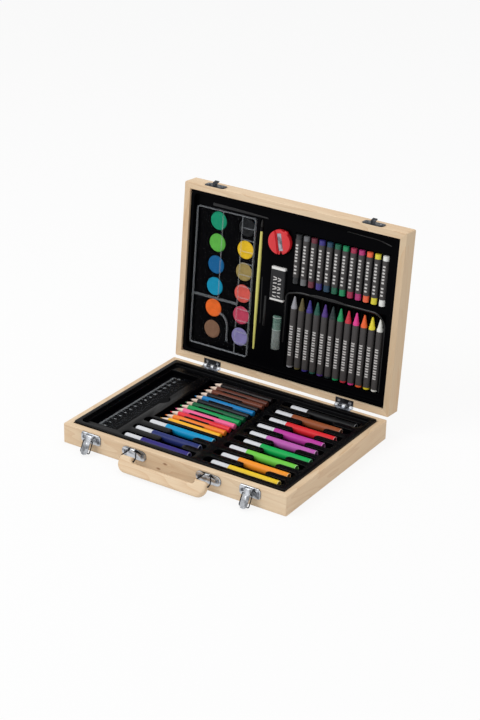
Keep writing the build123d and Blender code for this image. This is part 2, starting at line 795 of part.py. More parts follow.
def pen_slot(radius, x0, x1, y):
    """A pen's slot, its corners rounded from above."""
    space, tub = trough_x(radius, x0, x1, y, base_tray_z - pen_sunk + pen_slot_slack, base_tray_z)

    def plan(grow):
        outline = RectangleRounded(x1 - x0 + 2 * grow, 2 * (radius + grow), pen_slot_corner_radius + grow)
        return Pos((x0 + x1) / 2, y, 0) * extrude(outline, base_height)

    return space & plan(0), tub & plan(tray_wall)


def pen_group_pockets(caps_x, rows_y, trench_x0):
    """A slot for each pen of a group, and the deep trench across them for lifting them out, with the
    ridges between the slots ending in round noses."""
    radius = pen_radius + pocket_gap + pen_slot_slack
    x0, x1 = min(caps_x) - pen_slot_end_gap, max(caps_x) + pen_length + pen_slot_end_gap
    slots = [pen_slot(radius, x0, x1, y) for y in rows_y]
    nose = (rows_y[0] - rows_y[1]) / 2 - radius
    nose_x = (trench_x0 - nose, trench_x0 + trench_width + nose)
    space, tub = pocket(*nose_x, min(rows_y) - radius, max(rows_y) + radius, deepest_pocket_z, base_tray_z)
    height = base_tray_z - deepest_pocket_z + tray_wall
    for y0, y1 in zip(rows_y, rows_y[1:]):
        for x in nose_x:
            foot = Pos(x, (y0 + y1) / 2, deepest_pocket_z - tray_wall)
            space -= foot * Pos(0, 0, height) * Cylinder(nose, 2 * height)
            tub -= foot * Pos(0, 0, (height - tray_wall) / 2) * Cylinder(nose - tray_wall, height - tray_wall)
    return slots + [(space, tub)]


def make_base_tray(left_pens, right_pens, pencils_y):
    """The base's tray: a ruler pocket, rests for the pencils and slots for the pens."""
    ruler_half = ruler_length / 2 + ruler_pocket_end_gap
    pockets = [pocket(ruler_pocket_left, ruler_pocket_right, ruler_y - ruler_half, ruler_y + ruler_half,
                      base_tray_z - ruler_pocket_depth, base_tray_z),
               round_pocket(ruler_notch_radius, ruler_pocket_right - ruler_notch_in,
                            ruler_y + ruler_notch_past_middle, base_tray_z - ruler_pocket_depth, base_tray_z)]
    radius = pencil_radius + pocket_gap
    ends = (pencil_tip_x - pencil_trough_end_gap, pencil_tip_x + pencil_length + pencil_trough_end_gap)
    low, high = min(pencils_y) - radius, max(pencils_y) + radius
    trough_z = base_tray_z - pencil_trough_depth
    rest_start = pencil_tip_x + pencil_rest_from_tip
    rest_end = rest_start + pencil_rest_length
    pockets.append(pocket(ends[0], rest_start, low, high, trough_z, base_tray_z))
    pockets.append(pocket(rest_end, ends[1], low, high, trough_z, base_tray_z))
    for y in pencils_y:
        pockets.append(trough_x(radius, rest_start, rest_end, y, base_tray_z - pencil_sunk, base_tray_z))
    pockets += pen_group_pockets(*left_pens, left_pens_x + left_trench_from_caps)
    pockets += pen_group_pockets(*right_pens, right_pens_x + right_trench_from_caps)
    flange = bordered_flange(base_tray_z, base_border_width, base_border_height)
    keep("base_tray", moulded_tray(flange, pockets))


def make_ruler():
    """A clear ruler with a hanging hole, just off its pocket's floor."""
    low = base_tray_z - ruler_pocket_depth + pocket_gap
    outline = RectangleRounded(ruler_width, ruler_length, ruler_corner_radius)
    outline -= Pos(0, ruler_length / 2 - ruler_hole_from_end) * Circle(ruler_hole_radius)
    keep("ruler", extrude(outline, ruler_thickness), Pos(ruler_x, ruler_y, low))


def make_pencils(pencils_y):
    """Half-length coloured pencils, points to the left, with leads all through."""
    cone_x = pencil_lead_cone_length + pencil_cone_length
    wood = rod_x(pencil_lead_radius, pencil_lead_cone_length, cone_x, end_radius=pencil_radius)
    wood += rod_x(pencil_radius, cone_x, pencil_length)
    wood -= rod_x(pencil_lead_radius, 0, pencil_length)
    lead = rod_x(pencil_lead_tip_radius, 0, pencil_lead_cone_length, end_radius=pencil_lead_radius)
    lead += rod_x(pencil_lead_radius, pencil_lead_cone_length, pencil_length)
    places = [Pos(pencil_tip_x, y, base_tray_z - pencil_sunk) for y in pencils_y]
    keep_all("pencil_barrels", [place * wood for place in places])
    keep_all("pencil_leads", [place * lead for place in places])


def make_pens(places):
    """Felt pens from their caps at x = 0 to the plugs in their tails."""
    shoulder_end = pen_cap_length + pen_shoulder_thickness
    neck_start = pen_cap_length - pen_neck_length
    barrel = rod_x(pen_radius, pen_cap_length, pen_length) - rod_x(pen_bore_radius, shoulder_end, pen_length)
    barrel += rod_x(pen_neck_radius, neck_start, pen_cap_length)
    barrel -= rod_x(pen_nib_radius, neck_start, shoulder_end)
    cap = rod_x(pen_cap_radius, 0, pen_cap_length)
    cap -= rod_x(pen_cap_bore_radius, pen_cap_end, pen_cap_length)
    plug_end = pen_length - pen_plug_inset
    plug = rod_x(pen_bore_radius, plug_end - pen_plug_length, plug_end)
    nib_start = neck_start - pen_nib_out
    cone_end = nib_start + pen_nib_tip_length
    nib = rod_x(pen_nib_radius, cone_end, nib_start + pen_nib_length)
    nib += rod_x(pen_nib_tip_radius, nib_start, cone_end, end_radius=pen_nib_radius)
    ink_start = shoulder_end + pen_ink_from_shoulder
    ink_end = plug_end - pen_plug_length - pen_ink_from_plug
    ink = rod_x(pen_bore_radius - pen_ink_gap, ink_start, ink_end)
    pieces = {"barrels": barrel, "caps": cap, "plugs": plug, "nibs": nib, "ink_cores": ink}
    for name, piece in pieces.items():
        keep_all(f"felt_pen_{name}", [place * piece for place in places])


def make_base_contents():
    """The base's tray and all that lies in it."""
    left_caps = [left_pens_x + shift for shift in left_pen_shifts]
    right_caps = [right_pens_x + shift for shift in right_pen_shifts]
    left_y = row(left_pens_first_y, left_pens_last_y, len(left_caps))
    right_y = row(right_pens_first_y, right_pens_last_y, len(right_caps))
    pencils_y = row(pencil_first_y, pencil_last_y, pencil_count)
    make_base_tray((left_caps, left_y), (right_caps, right_y), pencils_y)
    make_ruler()
    make_pencils(pencils_y)
    spots = zip(left_caps + right_caps, left_y + right_y)
    make_pens([Pos(x, y, base_tray_z - pen_sunk) for x, y in spots])


def make_lid_tray(sticks_x):
    """The lid's tray: pockets for the palette, the loose pieces, the crayons and the pastels."""
    top = lid_tray_z
    pockets = [pocket(palette_left - pocket_gap, palette_right + pocket_gap, palette_foot - pocket_gap,
                      palette_top + pocket_gap, deepest_pocket_z, top)]
    brush_low = brush_tail_y - pocket_gap
    brush_high = brush_tail_y + brush_length + pocket_gap
    pockets.append(trough_y(brush_radius + pocket_gap, brush_low, brush_high, brush_x, top - brush_sunk, top))
    pockets.append(round_pocket(sharpener_radius + pocket_gap, sharpener_x, sharpener_y,
                                top - sharpener_sunk - pocket_gap, top))
    half_x, half_y = eraser_width / 2 + pocket_gap, eraser_length / 2 + pocket_gap
    pockets.append(pocket(eraser_x - half_x, eraser_x + half_x, eraser_y - half_y, eraser_y + half_y,
                          top - eraser_sunk - pocket_gap, top))
    pockets.append(trough_y(glue_radius + pocket_gap, glue_top_y - glue_length - pocket_gap,
                            glue_top_y + pocket_gap, glue_x, top - glue_sunk, top))
    radius = wrapper_radius + pocket_gap
    side = radius + crayon_recess_side_gap
    crayon_low = crayon_foot - stick_end_gap
    pockets.append(pocket(sticks_x[0] - side, sticks_x[-1] + side, crayon_low,
                          crayon_top_y + crayon_recess_top_gap, top - crayon_recess_depth, top))
    for x in sticks_x:
        pockets.append(trough_y(radius, crayon_low, crayon_top_y + stick_end_gap, x, top - crayon_sunk, top))
        pockets.append(trough_y(radius, pastel_foot - stick_end_gap, pastel_top_y + stick_end_gap, x,
                                top - pastel_sunk, top))
    flange = bordered_flange(top, lid_border_width, lid_border_height)
    keep("lid_tray", moulded_tray(flange, pockets), lid_open)


def make_palette():
    """The watercolour palette, its round cakes and its clear cover with mixing wells."""
    low = deepest_pocket_z + cover_gap
    top = low + palette_thickness
    place = Pos((palette_left + palette_right) / 2, (palette_foot + palette_top) / 2, 0)
    outline = RectangleRounded(palette_width, palette_length, palette_corner_radius)
    body = place * Pos(0, 0, low) * extrude(outline, palette_thickness)
    columns_x = (palette_left + paint_left_margin, palette_right - paint_right_margin)
    rows_y = row(palette_foot + paint_foot_margin, palette_top - paint_top_margin, paint_rows)
    spots = [Pos(x, y, top - paint_cup_depth) for x in columns_x for y in rows_y]
    cup = Pos(0, 0, paint_cup_depth) * Cylinder(paint_radius + paint_cup_gap, 2 * paint_cup_depth)
    body -= [spot * cup for spot in spots]
    keep("paint_palette", body, lid_open)
    cake = Pos(0, 0, paint_thickness / 2) * Cylinder(paint_radius, paint_thickness)
    keep_all("paint_cakes", [lid_open * spot * cake for spot in spots])

    sheet_low = top + cover_gap
    sheet_top = sheet_low + cover_sheet
    cover = place * Pos(0, 0, sheet_low) * extrude(outline, cover_sheet + cover_wall_height)
    inside = RectangleRounded(palette_width - 2 * cover_wall, palette_length - 2 * cover_wall,
                              palette_corner_radius - cover_wall)
    cover -= place * Pos(0, 0, sheet_top) * extrude(inside, 2 * cover_wall_height)
    rib_top = sheet_top + cover_rib_height
    well_left = palette_right - cover_wall - cover_well_width
    ribs = [box(well_left - cover_rib, well_left, palette_foot, palette_top, sheet_low, rib_top)]
    well_pitch = palette_length / cover_well_count
    for i in range(1, cover_well_count):
        y = palette_foot + well_pitch * i
        ribs.append(box(well_left, palette_right, y - cover_rib / 2, y + cover_rib / 2, sheet_low, rib_top))
    bar_low = palette_foot + cover_bar_from_foot
    ribs.append(box(palette_left, well_left, bar_low, bar_low + cover_bar_width, sheet_low, rib_top))
    line_x = palette_left + cover_line_from_left
    ribs.append(box(line_x, line_x + cover_rib, bar_low, palette_top, sheet_low, rib_top))
    keep("paint_cover", cover + ribs, lid_open)


def make_brush():
    """A brush with a tapered handle, a short ferrule and a tuft, lying along Y."""
    place = lid_open * Pos(brush_x, 0, lid_tray_z - brush_sunk)
    tip = brush_tail_y + brush_length
    ferrule_end = tip - bristle_length
    handle_end = ferrule_end - ferrule_length
    keep("brush_handle", rod_y(brush_tail_radius, brush_tail_y, handle_end, end_radius=brush_radius), place)
    keep("brush_ferrule", rod_y(brush_radius, handle_end, ferrule_end), place)
    tuft = rod_y(bristle_radius, ferrule_end, tip, end_radius=bristle_tip_radius)
    keep("brush_bristles", tuft, place)


def make_sharpener():
    """A round sharpener lying in its pocket with its blade across a slanted trough."""
    low = lid_tray_z - sharpener_sunk
    place = lid_open * Pos(sharpener_x, sharpener_y, low) * Rot(0, 0, sharpener_lean)
    body = Pos(0, 0, sharpener_height / 2) * Cylinder(sharpener_radius, sharpener_height)
    body = fillet(body.edges(), sharpener_edge_radius)
    seat = sharpener_height - sharpener_trough_depth
    half = sharpener_trough_width / 2
    body -= box(-half, half, -sharpener_radius, sharpener_radius, seat, sharpener_height)
    bore_z = seat - sharpener_bore_radius + sharpener_blade_thickness
    body -= rod_y(sharpener_bore_radius, -sharpener_radius, sharpener_blade_length / 2, 0, bore_z,
                  end_radius=sharpener_bore_end_radius)
    blade_top = seat + sharpener_blade_thickness
    shank = Pos(sharpener_screw_x, 0, blade_top - sharpener_screw_length / 2)
    shank *= Cylinder(sharpener_screw_radius, sharpener_screw_length)
    keep("sharpener_body", body - shank, place)
    blade_x = sharpener_blade_width / 2
    blade_y = sharpener_blade_length / 2
    keep("sharpener_blade", box(-blade_x, blade_x, -blade_y, blade_y, seat, blade_top) - shank, place)
    head = Pos(sharpener_screw_x, 0, blade_top + sharpener_screw_head_height / 2)
    head *= Cylinder(sharpener_screw_head_radius, sharpener_screw_head_height)
    keep("sharpener_screw", head + shank, place)


def make_eraser():
    """A block eraser in a card sleeve that leaves both ends bare."""
    low = lid_tray_z - eraser_sunk
    place = lid_open * Pos(eraser_x, eraser_y, low + eraser_height / 2)
    sheet = eraser_sleeve_sheet
    block = Box(eraser_width - 2 * sheet, eraser_length, eraser_height - 2 * sheet)
    block = fillet(block.edges().filter_by(Axis.Y), eraser_edge_radius)
    keep("eraser_block", block, place)
    sleeve = Box(eraser_width, eraser_length - 2 * eraser_bare_end, eraser_height)
    sleeve = fillet(sleeve.edges().filter_by(Axis.Y), eraser_edge_radius + sheet)
    keep("eraser_sleeve", sleeve - block, place)


def make_glue_stick():
    """A small glue stick lying along Y, its clear cap to the top."""
    place = lid_open * Pos(glue_x, 0, lid_tray_z - glue_sunk)
    low = glue_top_y - glue_length
    mouth = glue_top_y - glue_cap_length
    bore = glue_radius - glue_wall
    tube = rod_y(glue_radius, low, mouth) - rod_y(bore, low + glue_wall, mouth)
    keep("glue_tube", tube, place)
    cap = rod_y(glue_radius, mouth, glue_top_y) - rod_y(bore, mouth, glue_top_y - glue_wall)
    keep("glue_cap", cap, place)
    stick_foot = low + glue_wall + glue_stick_foot_gap
    keep("glue_stick", rod_y(bore - glue_stick_gap, stick_foot, mouth + glue_stick_out), place)


def make_sticks(sticks_x):
    """The wax crayons and the oil pastels, each in its paper wrapper."""
    cone_y = crayon_top_y - crayon_cone_length
    crayon = rod_y(stick_radius, crayon_foot, cone_y)
    crayon += rod_y(stick_radius, cone_y, crayon_top_y, end_radius=crayon_tip_radius)
    wrap_low, wrap_high = crayon_foot + crayon_bare_tail, cone_y - crayon_shoulder_length
    crayon_wrap = rod_y(wrapper_radius, wrap_low, wrap_high) - rod_y(stick_radius, wrap_low, wrap_high)
    places = [lid_open * Pos(x, 0, lid_tray_z - crayon_sunk) for x in sticks_x]
    keep_all("wax_crayons", [place * crayon for place in places])
    keep_all("crayon_wrappers", [place * crayon_wrap for place in places])

    pastel = rod_y(stick_radius, pastel_foot, pastel_top_y)
    wrap_low, wrap_high = pastel_foot + pastel_bare_foot, pastel_top_y - pastel_bare_top
    pastel_wrap = rod_y(wrapper_radius, wrap_low, wrap_high) - rod_y(stick_radius, wrap_low, wrap_high)
    places = [lid_open * Pos(x, 0, lid_tray_z - pastel_sunk) for x in sticks_x]
    keep_all("oil_pastels", [place * pastel for place in places])
    keep_all("pastel_wrappers", [place * pastel_wrap for place in places])


def make_lid_contents():
    """The lid's tray and all that it holds."""
    first_x = sharpener_x + sharpener_radius + sticks_from_sharpener
    sticks_x = row(first_x, right_wall - sticks_right_margin, stick_count)
    make_lid_tray(sticks_x)
    make_palette()
    make_brush()
    make_sharpener()
    make_eraser()
    make_glue_stick()
    make_sticks(sticks_x)


make_case()
make_hinges()
make_latches()
make_handle()
make_base_contents()
make_lid_contents()

os.makedirs("parts", exist_ok=True)
for name, shape in nodes.items():
    export_step(shape, f"parts/{name}.step")
print(len(nodes), "nodes")
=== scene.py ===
"""A wooden art set box, standing open: a pine case with plated fittings, and two glossy moulded trays
that hold a paint palette, crayons, pastels, pencils and felt pens. Sizes in the tables are millimetres."""

from math import cos, radians, sin

import bpy
from mathutils import Matrix, Vector


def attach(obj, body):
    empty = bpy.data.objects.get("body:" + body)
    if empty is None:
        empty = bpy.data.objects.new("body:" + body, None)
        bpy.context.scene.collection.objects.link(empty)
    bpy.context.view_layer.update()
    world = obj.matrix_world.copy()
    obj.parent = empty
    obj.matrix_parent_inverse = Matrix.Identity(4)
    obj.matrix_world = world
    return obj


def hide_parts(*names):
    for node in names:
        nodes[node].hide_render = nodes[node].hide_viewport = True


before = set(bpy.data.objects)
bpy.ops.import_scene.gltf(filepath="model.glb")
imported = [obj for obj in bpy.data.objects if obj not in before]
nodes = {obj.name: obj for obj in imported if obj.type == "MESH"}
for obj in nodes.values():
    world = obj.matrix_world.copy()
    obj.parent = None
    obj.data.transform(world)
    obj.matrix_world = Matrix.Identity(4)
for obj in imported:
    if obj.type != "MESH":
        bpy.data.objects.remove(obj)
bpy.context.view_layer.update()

MM = 0.001
MERGE_DISTANCE = 0.002 * MM


# --- Places ---------------------------------------------------------------------------------------

def shift(x=0.0, y=0.0, z=0.0):
    """A move in millimetres."""
    return Matrix.Translation(Vector((x, y, z)) * MM)


def turn(angle, axis):
    """A turn in degrees."""
    return Matrix.Rotation(radians(angle), 4, axis)


LID_OPEN_ANGLE = 94.5
HINGE = (0.0, 113.2, 24.5)
CASE_HEIGHT = 47.0
FRONT_Y = -111.5
LID_HEIGHT = 22.0
LID = (shift(*HINGE) @ turn(-LID_OPEN_ANGLE, "X") @ shift(0, -HINGE[1], -HINGE[2])
       @ shift(0, 0, CASE_HEIGHT) @ turn(180, "X"))
TO_X = turn(90, "Y")
TO_Y = turn(-90, "X")


def on_base_front(x):
    """A fitting's place on the base's front: x right, y up from the underside, z out of the wood."""
    return shift(x, FRONT_Y, 0) @ turn(90, "X")


def on_lid_front(x):
    """The same on the lid's front, y up from its rim when the lid is shut."""
    return LID @ shift(x, -FRONT_Y, LID_HEIGHT) @ turn(-90, "X")


# --- Camera and lamps -----------------------------------------------------------------------------

LAMP_AIM = Vector((0.0, 0.02, 0.08))


def look_from(azimuth, elevation, roll, place, lens):
    """Set the camera at the photograph's viewing angle."""
    az, el, tip = radians(azimuth), radians(elevation), radians(roll)
    back = Vector((sin(az) * cos(el), -cos(az) * cos(el), sin(el)))
    side = Vector((0, 0, 1)).cross(back).normalized()
    up = back.cross(side)
    across = cos(tip) * side + sin(tip) * up
    upward = cos(tip) * up - sin(tip) * side
    camera = bpy.data.objects.new("camera", bpy.data.cameras.new("camera"))
    bpy.context.scene.collection.objects.link(camera)
    camera.matrix_world = Matrix.Translation(place) @ Matrix((across, upward, back)).transposed().to_4x4()
    camera.data.lens = lens
    camera.data.sensor_width = 36.0
    camera.data.clip_start = 0.05
    bpy.context.scene.camera = camera


def lamp(name, place, size, power):
    """A soft square lamp aimed at the case."""
    light = bpy.data.lights.new(name, "AREA")
    light.shape, light.size, light.energy = "SQUARE", size, power
    body = bpy.data.objects.new(name, light)
    bpy.context.scene.collection.objects.link(body)
    body.location = place
    body.rotation_euler = (LAMP_AIM - Vector(place)).to_track_quat("-Z", "Y").to_euler()


look_from(32.17, 24.92, 1.46, (0.99836, -1.56096, 0.96353), 90.16)
lamp("key_lamp", (-0.9, -1.3, 1.7), 1.3, 19.0)
lamp("fill_lamp", (1.7, -1.0, 1.2), 1.4, 2.4)
lamp("top_lamp", (0.1, 0.5, 1.9), 1.2, 8.0)


# --- Materials ------------------------------------------------------------------------------------

def linear(colour):
    """An sRGB hex colour as linear values with alpha."""
    values = [int(colour[i:i + 2], 16) / 255 for i in (1, 3, 5)]
    return [v / 12.92 if v <= 0.04045 else ((v + 0.055) / 1.055) ** 2.4 for v in values] + [1.0]


def mixed(colour, other, share):
    """A hex colour part of the way to another."""
    pairs = [(int(colour[i:i + 2], 16), int(other[i:i + 2], 16)) for i in (1, 3, 5)]
    return "#" + "".join(f"{round(a + (b - a) * share):02X}" for a, b in pairs)


def paler(colour):
    """The colour painted paler, as a painted highlight on a thin lip."""
    return mixed(colour, "#FFFFFF", 0.55)


def darker(colour):
    """The colour darkened as painted shade, for a piece down inside a barrel."""
    return mixed(colour, "#101014", 0.45)


def add(material, kind, inputs=None, **settings):
    """Add a shader node with its settings, its values and its links."""
    node = material.node_tree.nodes.new("ShaderNode" + kind)
    for key, value in settings.items():
        setattr(node, key, value)
    for socket, value in (inputs or {}).items():
        if isinstance(value, bpy.types.NodeSocket):
            material.node_tree.links.new(value, node.inputs[socket])
        elif isinstance(value, str):
            node.inputs[socket].default_value = linear(value)
        else:
            node.inputs[socket].default_value = value
    return node


def new_material(name):
    """An empty node material."""
    material = bpy.data.materials.new(name)
    material.use_nodes = True
    material.node_tree.nodes.clear()
    return material


def patterned(name):
    """An empty node material, and the Object coordinates that its patterns follow."""
    material = new_material(name)
    return material, add(material, "TexCoord").outputs["Object"]


def surface(material, inputs):
    """The material's shader and output."""
    shader = add(material, "BsdfPrincipled", inputs)
    add(material, "OutputMaterial", {"Surface": shader.outputs[0]})
    return material


def raised(material, pattern, strength, inputs, height=0.2 * MM):
    """The same, with the surface raised a little by a pattern."""
    bump = add(material, "Bump", {"Strength": strength, "Distance": height, "Height": pattern})
    return surface(material, {**inputs, "Normal": bump.outputs[0]})


def mottled(material, colour, pattern, dark, bright, low=0.0, high=1.0):
    """A colour made darker and brighter by a pattern."""
    shade = add(material, "MapRange", {"Value": pattern, "From Min": low, "From Max": high,
                                       "To Min": dark, "To Max": bright})
    return add(material, "HueSaturation", {"Value": shade.outputs[0], "Color": colour}).outputs[0]


def dress(node, material):
    """Give a CAD node its material."""
    nodes[node].data.materials.clear()
    nodes[node].data.materials.append(material)


# Sawn and sanded pine: pale straw, with darker lines of late wood every few millimetres along the
# board, a fine fibre and now and then a small knot; bare, so only a soft sheen.
def pine(name, along, seed, pale="#EAD5B6", dark="#CBA57C", knots=()):
    wood, space = patterned(name)
    stretch = {"X": (7.0, 62.0, 62.0), "Y": (62.0, 7.0, 62.0), "Z": (62.0, 62.0, 7.0)}[along]
    fibre = {"X": (30.0, 1500.0, 1500.0), "Y": (1500.0, 30.0, 1500.0), "Z": (1500.0, 1500.0, 30.0)}[along]
    rings_space = add(wood, "Mapping", {"Vector": space, "Location": (seed, seed * 0.7, seed * 0.3),
                                        "Scale": stretch})
    rings = add(wood, "TexNoise", {"Vector": rings_space.outputs[0], "Scale": 0.5, "Detail": 2.0,
                                   "Roughness": 0.45, "Distortion": 0.25})
    count = add(wood, "Math", {0: rings.outputs["Fac"], 1: 13.0}, operation="MULTIPLY")
    within = add(wood, "Math", {0: count.outputs[0]}, operation="FRACT")
    late = add(wood, "Math", {0: within.outputs[0], 1: 3.0}, operation="POWER")
    fibres_space = add(wood, "Mapping", {"Vector": space, "Scale": fibre})
    fibres = add(wood, "TexNoise", {"Vector": fibres_space.outputs[0], "Scale": 1.0, "Detail": 3.0})
    streak_space = add(wood, "Mapping", {"Vector": space, "Location": (seed * 3, seed, seed * 2),
                                         "Scale": [v * 0.25 for v in stretch]})
    streaks = add(wood, "TexNoise", {"Vector": streak_space.outputs[0], "Scale": 1.0, "Detail": 1.0})
    ring_tint = add(wood, "Math", {0: late.outputs[0], 1: 0.34}, operation="MULTIPLY")
    fibre_tint = add(wood, "MapRange", {"Value": fibres.outputs["Fac"], "From Min": 0.35, "From Max": 0.75,
                                        "To Min": 0.0, "To Max": 0.28})
    streak_tint = add(wood, "MapRange", {"Value": streaks.outputs["Fac"], "From Min": 0.4, "From Max": 0.7,
                                         "To Min": 0.0, "To Max": 0.4})
    tint = add(wood, "Math", {0: ring_tint.outputs[0], 1: fibre_tint.outputs[0]}, operation="ADD")
    tint = add(wood, "Math", {0: tint.outputs[0], 1: streak_tint.outputs[0]}, operation="ADD",
               use_clamp=True)
    colour = add(wood, "Mix", {0: tint.outputs[0], 6: pale, 7: dark}, data_type="RGBA").outputs[2]
    for place, size in knots:
        away = add(wood, "VectorMath", {0: space, 1: [v * MM for v in place]}, operation="SUBTRACT")
        squash = [1.0, 1.0, 1.0]
        squash["XYZ".index(along)] = 0.45
        near = add(wood, "VectorMath", {0: away.outputs[0], 1: squash}, operation="MULTIPLY")
        far = add(wood, "VectorMath", {0: near.outputs[0]}, operation="LENGTH")
        spot = add(wood, "MapRange", {"Value": far.outputs["Value"], "From Min": 0.35 * size * MM,
                                      "From Max": 1.2 * size * MM, "To Min": 0.85, "To Max": 0.0})
        colour = add(wood, "Mix", {0: spot.outputs[0], 6: colour, 7: "#8A5A35"},
                     data_type="RGBA").outputs[2]
    gloss = add(wood, "MapRange", {"Value": late.outputs[0], "To Min": 0.62, "To Max": 0.5})
    return raised(wood, fibres.outputs["Fac"], 0.12, {"Base Color": colour, "Roughness": gloss.outputs[0]})


# Vacuum-formed polystyrene: black and glossy, a little wavy where the hot sheet was drawn down.
def black_sheet(name, shine, colour="#040406", roughness=0.22):
    plastic, space = patterned(name)
    waves = add(plastic, "TexNoise", {"Vector": space, "Scale": 110.0, "Detail": 1.0})
    grain = add(plastic, "TexNoise", {"Vector": space, "Scale": 900.0, "Detail": 2.0})
    rough = add(plastic, "MapRange", {"Value": grain.outputs["Fac"], "To Min": roughness - 0.05,
                                      "To Max": roughness + 0.1})
    return raised(plastic, waves.outputs["Fac"], 0.25,
                  {"Base Color": colour, "Roughness": rough.outputs[0], "IOR": 1.5,
                   "Specular IOR Level": shine}, 0.6 * MM)


# Bright zinc-plated steel, pressed from sheet: cool silver with faint rolling marks and dark tarnish.
def plated(name, colour="#C9CCD1", roughness=0.26):
    metal, space = patterned(name)
    marks_space = add(metal, "Mapping", {"Vector": space, "Scale": (250.0, 2600.0, 2600.0)})
    marks = add(metal, "TexNoise", {"Vector": marks_space.outputs[0], "Scale": 1.0, "Detail": 2.0})
    cloud = add(metal, "TexNoise", {"Vector": space, "Scale": 420.0, "Detail": 2.0})
    rough = add(metal, "MapRange", {"Value": cloud.outputs["Fac"], "To Min": roughness - 0.08,
                                    "To Max": roughness + 0.14})
    patches = add(metal, "TexNoise", {"Vector": space, "Scale": 170.0, "Detail": 0.0, "Distortion": 0.4})
    tarnish = add(metal, "MapRange", {"Value": patches.outputs["Fac"], "From Min": 0.5, "From Max": 0.66,
                                      "To Min": 0.0, "To Max": 0.6})
    tone = add(metal, "Mix", {0: tarnish.outputs[0], 6: colour, 7: mixed(colour, "#18191C", 0.7)},
               data_type="RGBA")
    return raised(metal, marks.outputs["Fac"], 0.08,
                  {"Base Color": tone.outputs[2], "Metallic": 1.0, "Roughness": rough.outputs[0]})


# Moulded plastic in one colour, with the faint cloudiness of a cheap pigment.
def moulded(name, colour, roughness=0.3, mottle=0.05, shine=0.5):
    plastic, space = patterned(name)
    cloud = add(plastic, "TexNoise", {"Vector": space, "Scale": 260.0, "Detail": 2.0})
    tinted = mottled(plastic, colour, cloud.outputs["Fac"], 1.0 - mottle, 1.0 + mottle)
    return raised(plastic, cloud.outputs["Fac"], 0.1,
                  {"Base Color": tinted, "Roughness": roughness, "IOR": 1.5, "Specular IOR Level": shine})


# Nitrocellulose lacquer on a pencil's barrel: dipped several times, so glossy and level, with the
# faintest wave of the wood below.
def lacquer(name, colour):
    paint, space = patterned(name)
    stretch = add(paint, "Mapping", {"Vector": space, "Scale": (60.0, 700.0, 700.0)})
    grain = add(paint, "TexNoise", {"Vector": stretch.outputs[0], "Scale": 1.0, "Detail": 2.0})
    tinted = mottled(paint, colour, grain.outputs["Fac"], 0.9, 1.08)
    return raised(paint, grain.outputs["Fac"], 0.12,
                  {"Base Color": tinted, "Roughness": 0.3, "IOR": 1.5, "Specular IOR Level": 0.25})


# Paraffin wax with pigment, cast in a mould: soft sheen, a little light goes in, slight bloom.
def waxy(name, colour, roughness):
    wax, space = patterned(name)
    bloom = add(wax, "TexNoise", {"Vector": space, "Scale": 500.0, "Detail": 3.0})
    share = add(wax, "MapRange", {"Value": bloom.outputs["Fac"], "From Min": 0.45, "From Max": 0.8,
                                  "To Min": 0.0, "To Max": 0.16})
    tinted = add(wax, "Mix", {0: share.outputs[0], 6: colour, 7: mixed(colour, "#FFFFFF", 0.5)},
                 data_type="RGBA")
    return raised(wax, bloom.outputs["Fac"], 0.15,
                  {"Base Color": tinted.outputs[2], "Roughness": roughness, "IOR": 1.44})


# Watercolour pressed dry into a cake: matt and chalky, with fine specks of uneven pigment.
def pressed_paint(name, colour):
    paint, space = patterned(name)
    specks = add(paint, "TexNoise", {"Vector": space, "Scale": 1100.0, "Detail": 3.0})
    cloud = add(paint, "TexNoise", {"Vector": space, "Scale": 150.0, "Detail": 2.0})
    both = add(paint, "Math", {0: specks.outputs["Fac"], 1: cloud.outputs["Fac"]}, operation="ADD")
    tinted = mottled(paint, colour, both.outputs[0], 0.86, 1.12, 0.6, 1.4)
    return raised(paint, specks.outputs["Fac"], 0.35,
                  {"Base Color": tinted, "Roughness": 0.8, "Specular IOR Level": 0.3}, 0.3 * MM)


# Uncoated paper and card: matt, with short fibres that lie every way.
def fibrous(name, colour, roughness):
    sheet, space = patterned(name)
    fibres = add(sheet, "TexNoise", {"Vector": space, "Scale": 1300.0, "Detail": 4.0, "Roughness": 0.7})
    tinted = mottled(sheet, colour, fibres.outputs["Fac"], 0.82, 1.15, 0.3, 0.7)
    return raised(sheet, fibres.outputs["Fac"], 0.3, {"Base Color": tinted, "Roughness": roughness})


# Clear polystyrene, injection moulded: the flats let the light straight through. The pale copies made nearly
# opaque, for the cover's ribs and edges and the glue stick's rims, are painted highlight. Seen is how much
# shows face on, and edge how much shows aslant.
def clear(name, colour, seen, edge, shine=0.5):
    plastic, space = patterned(name)
    haze = add(plastic, "TexNoise", {"Vector": space, "Scale": 300.0, "Detail": 2.0})
    rough = add(plastic, "MapRange", {"Value": haze.outputs["Fac"], "To Min": 0.05, "To Max": 0.18})
    facing = add(plastic, "LayerWeight", {"Blend": 0.35})
    alpha = add(plastic, "MapRange", {"Value": facing.outputs["Facing"], "To Min": seen, "To Max": edge})
    return surface(plastic, {"Base Color": colour, "Roughness": rough.outputs[0], "IOR": 1.58,
                             "Specular IOR Level": shine, "Alpha": alpha.outputs[0]})


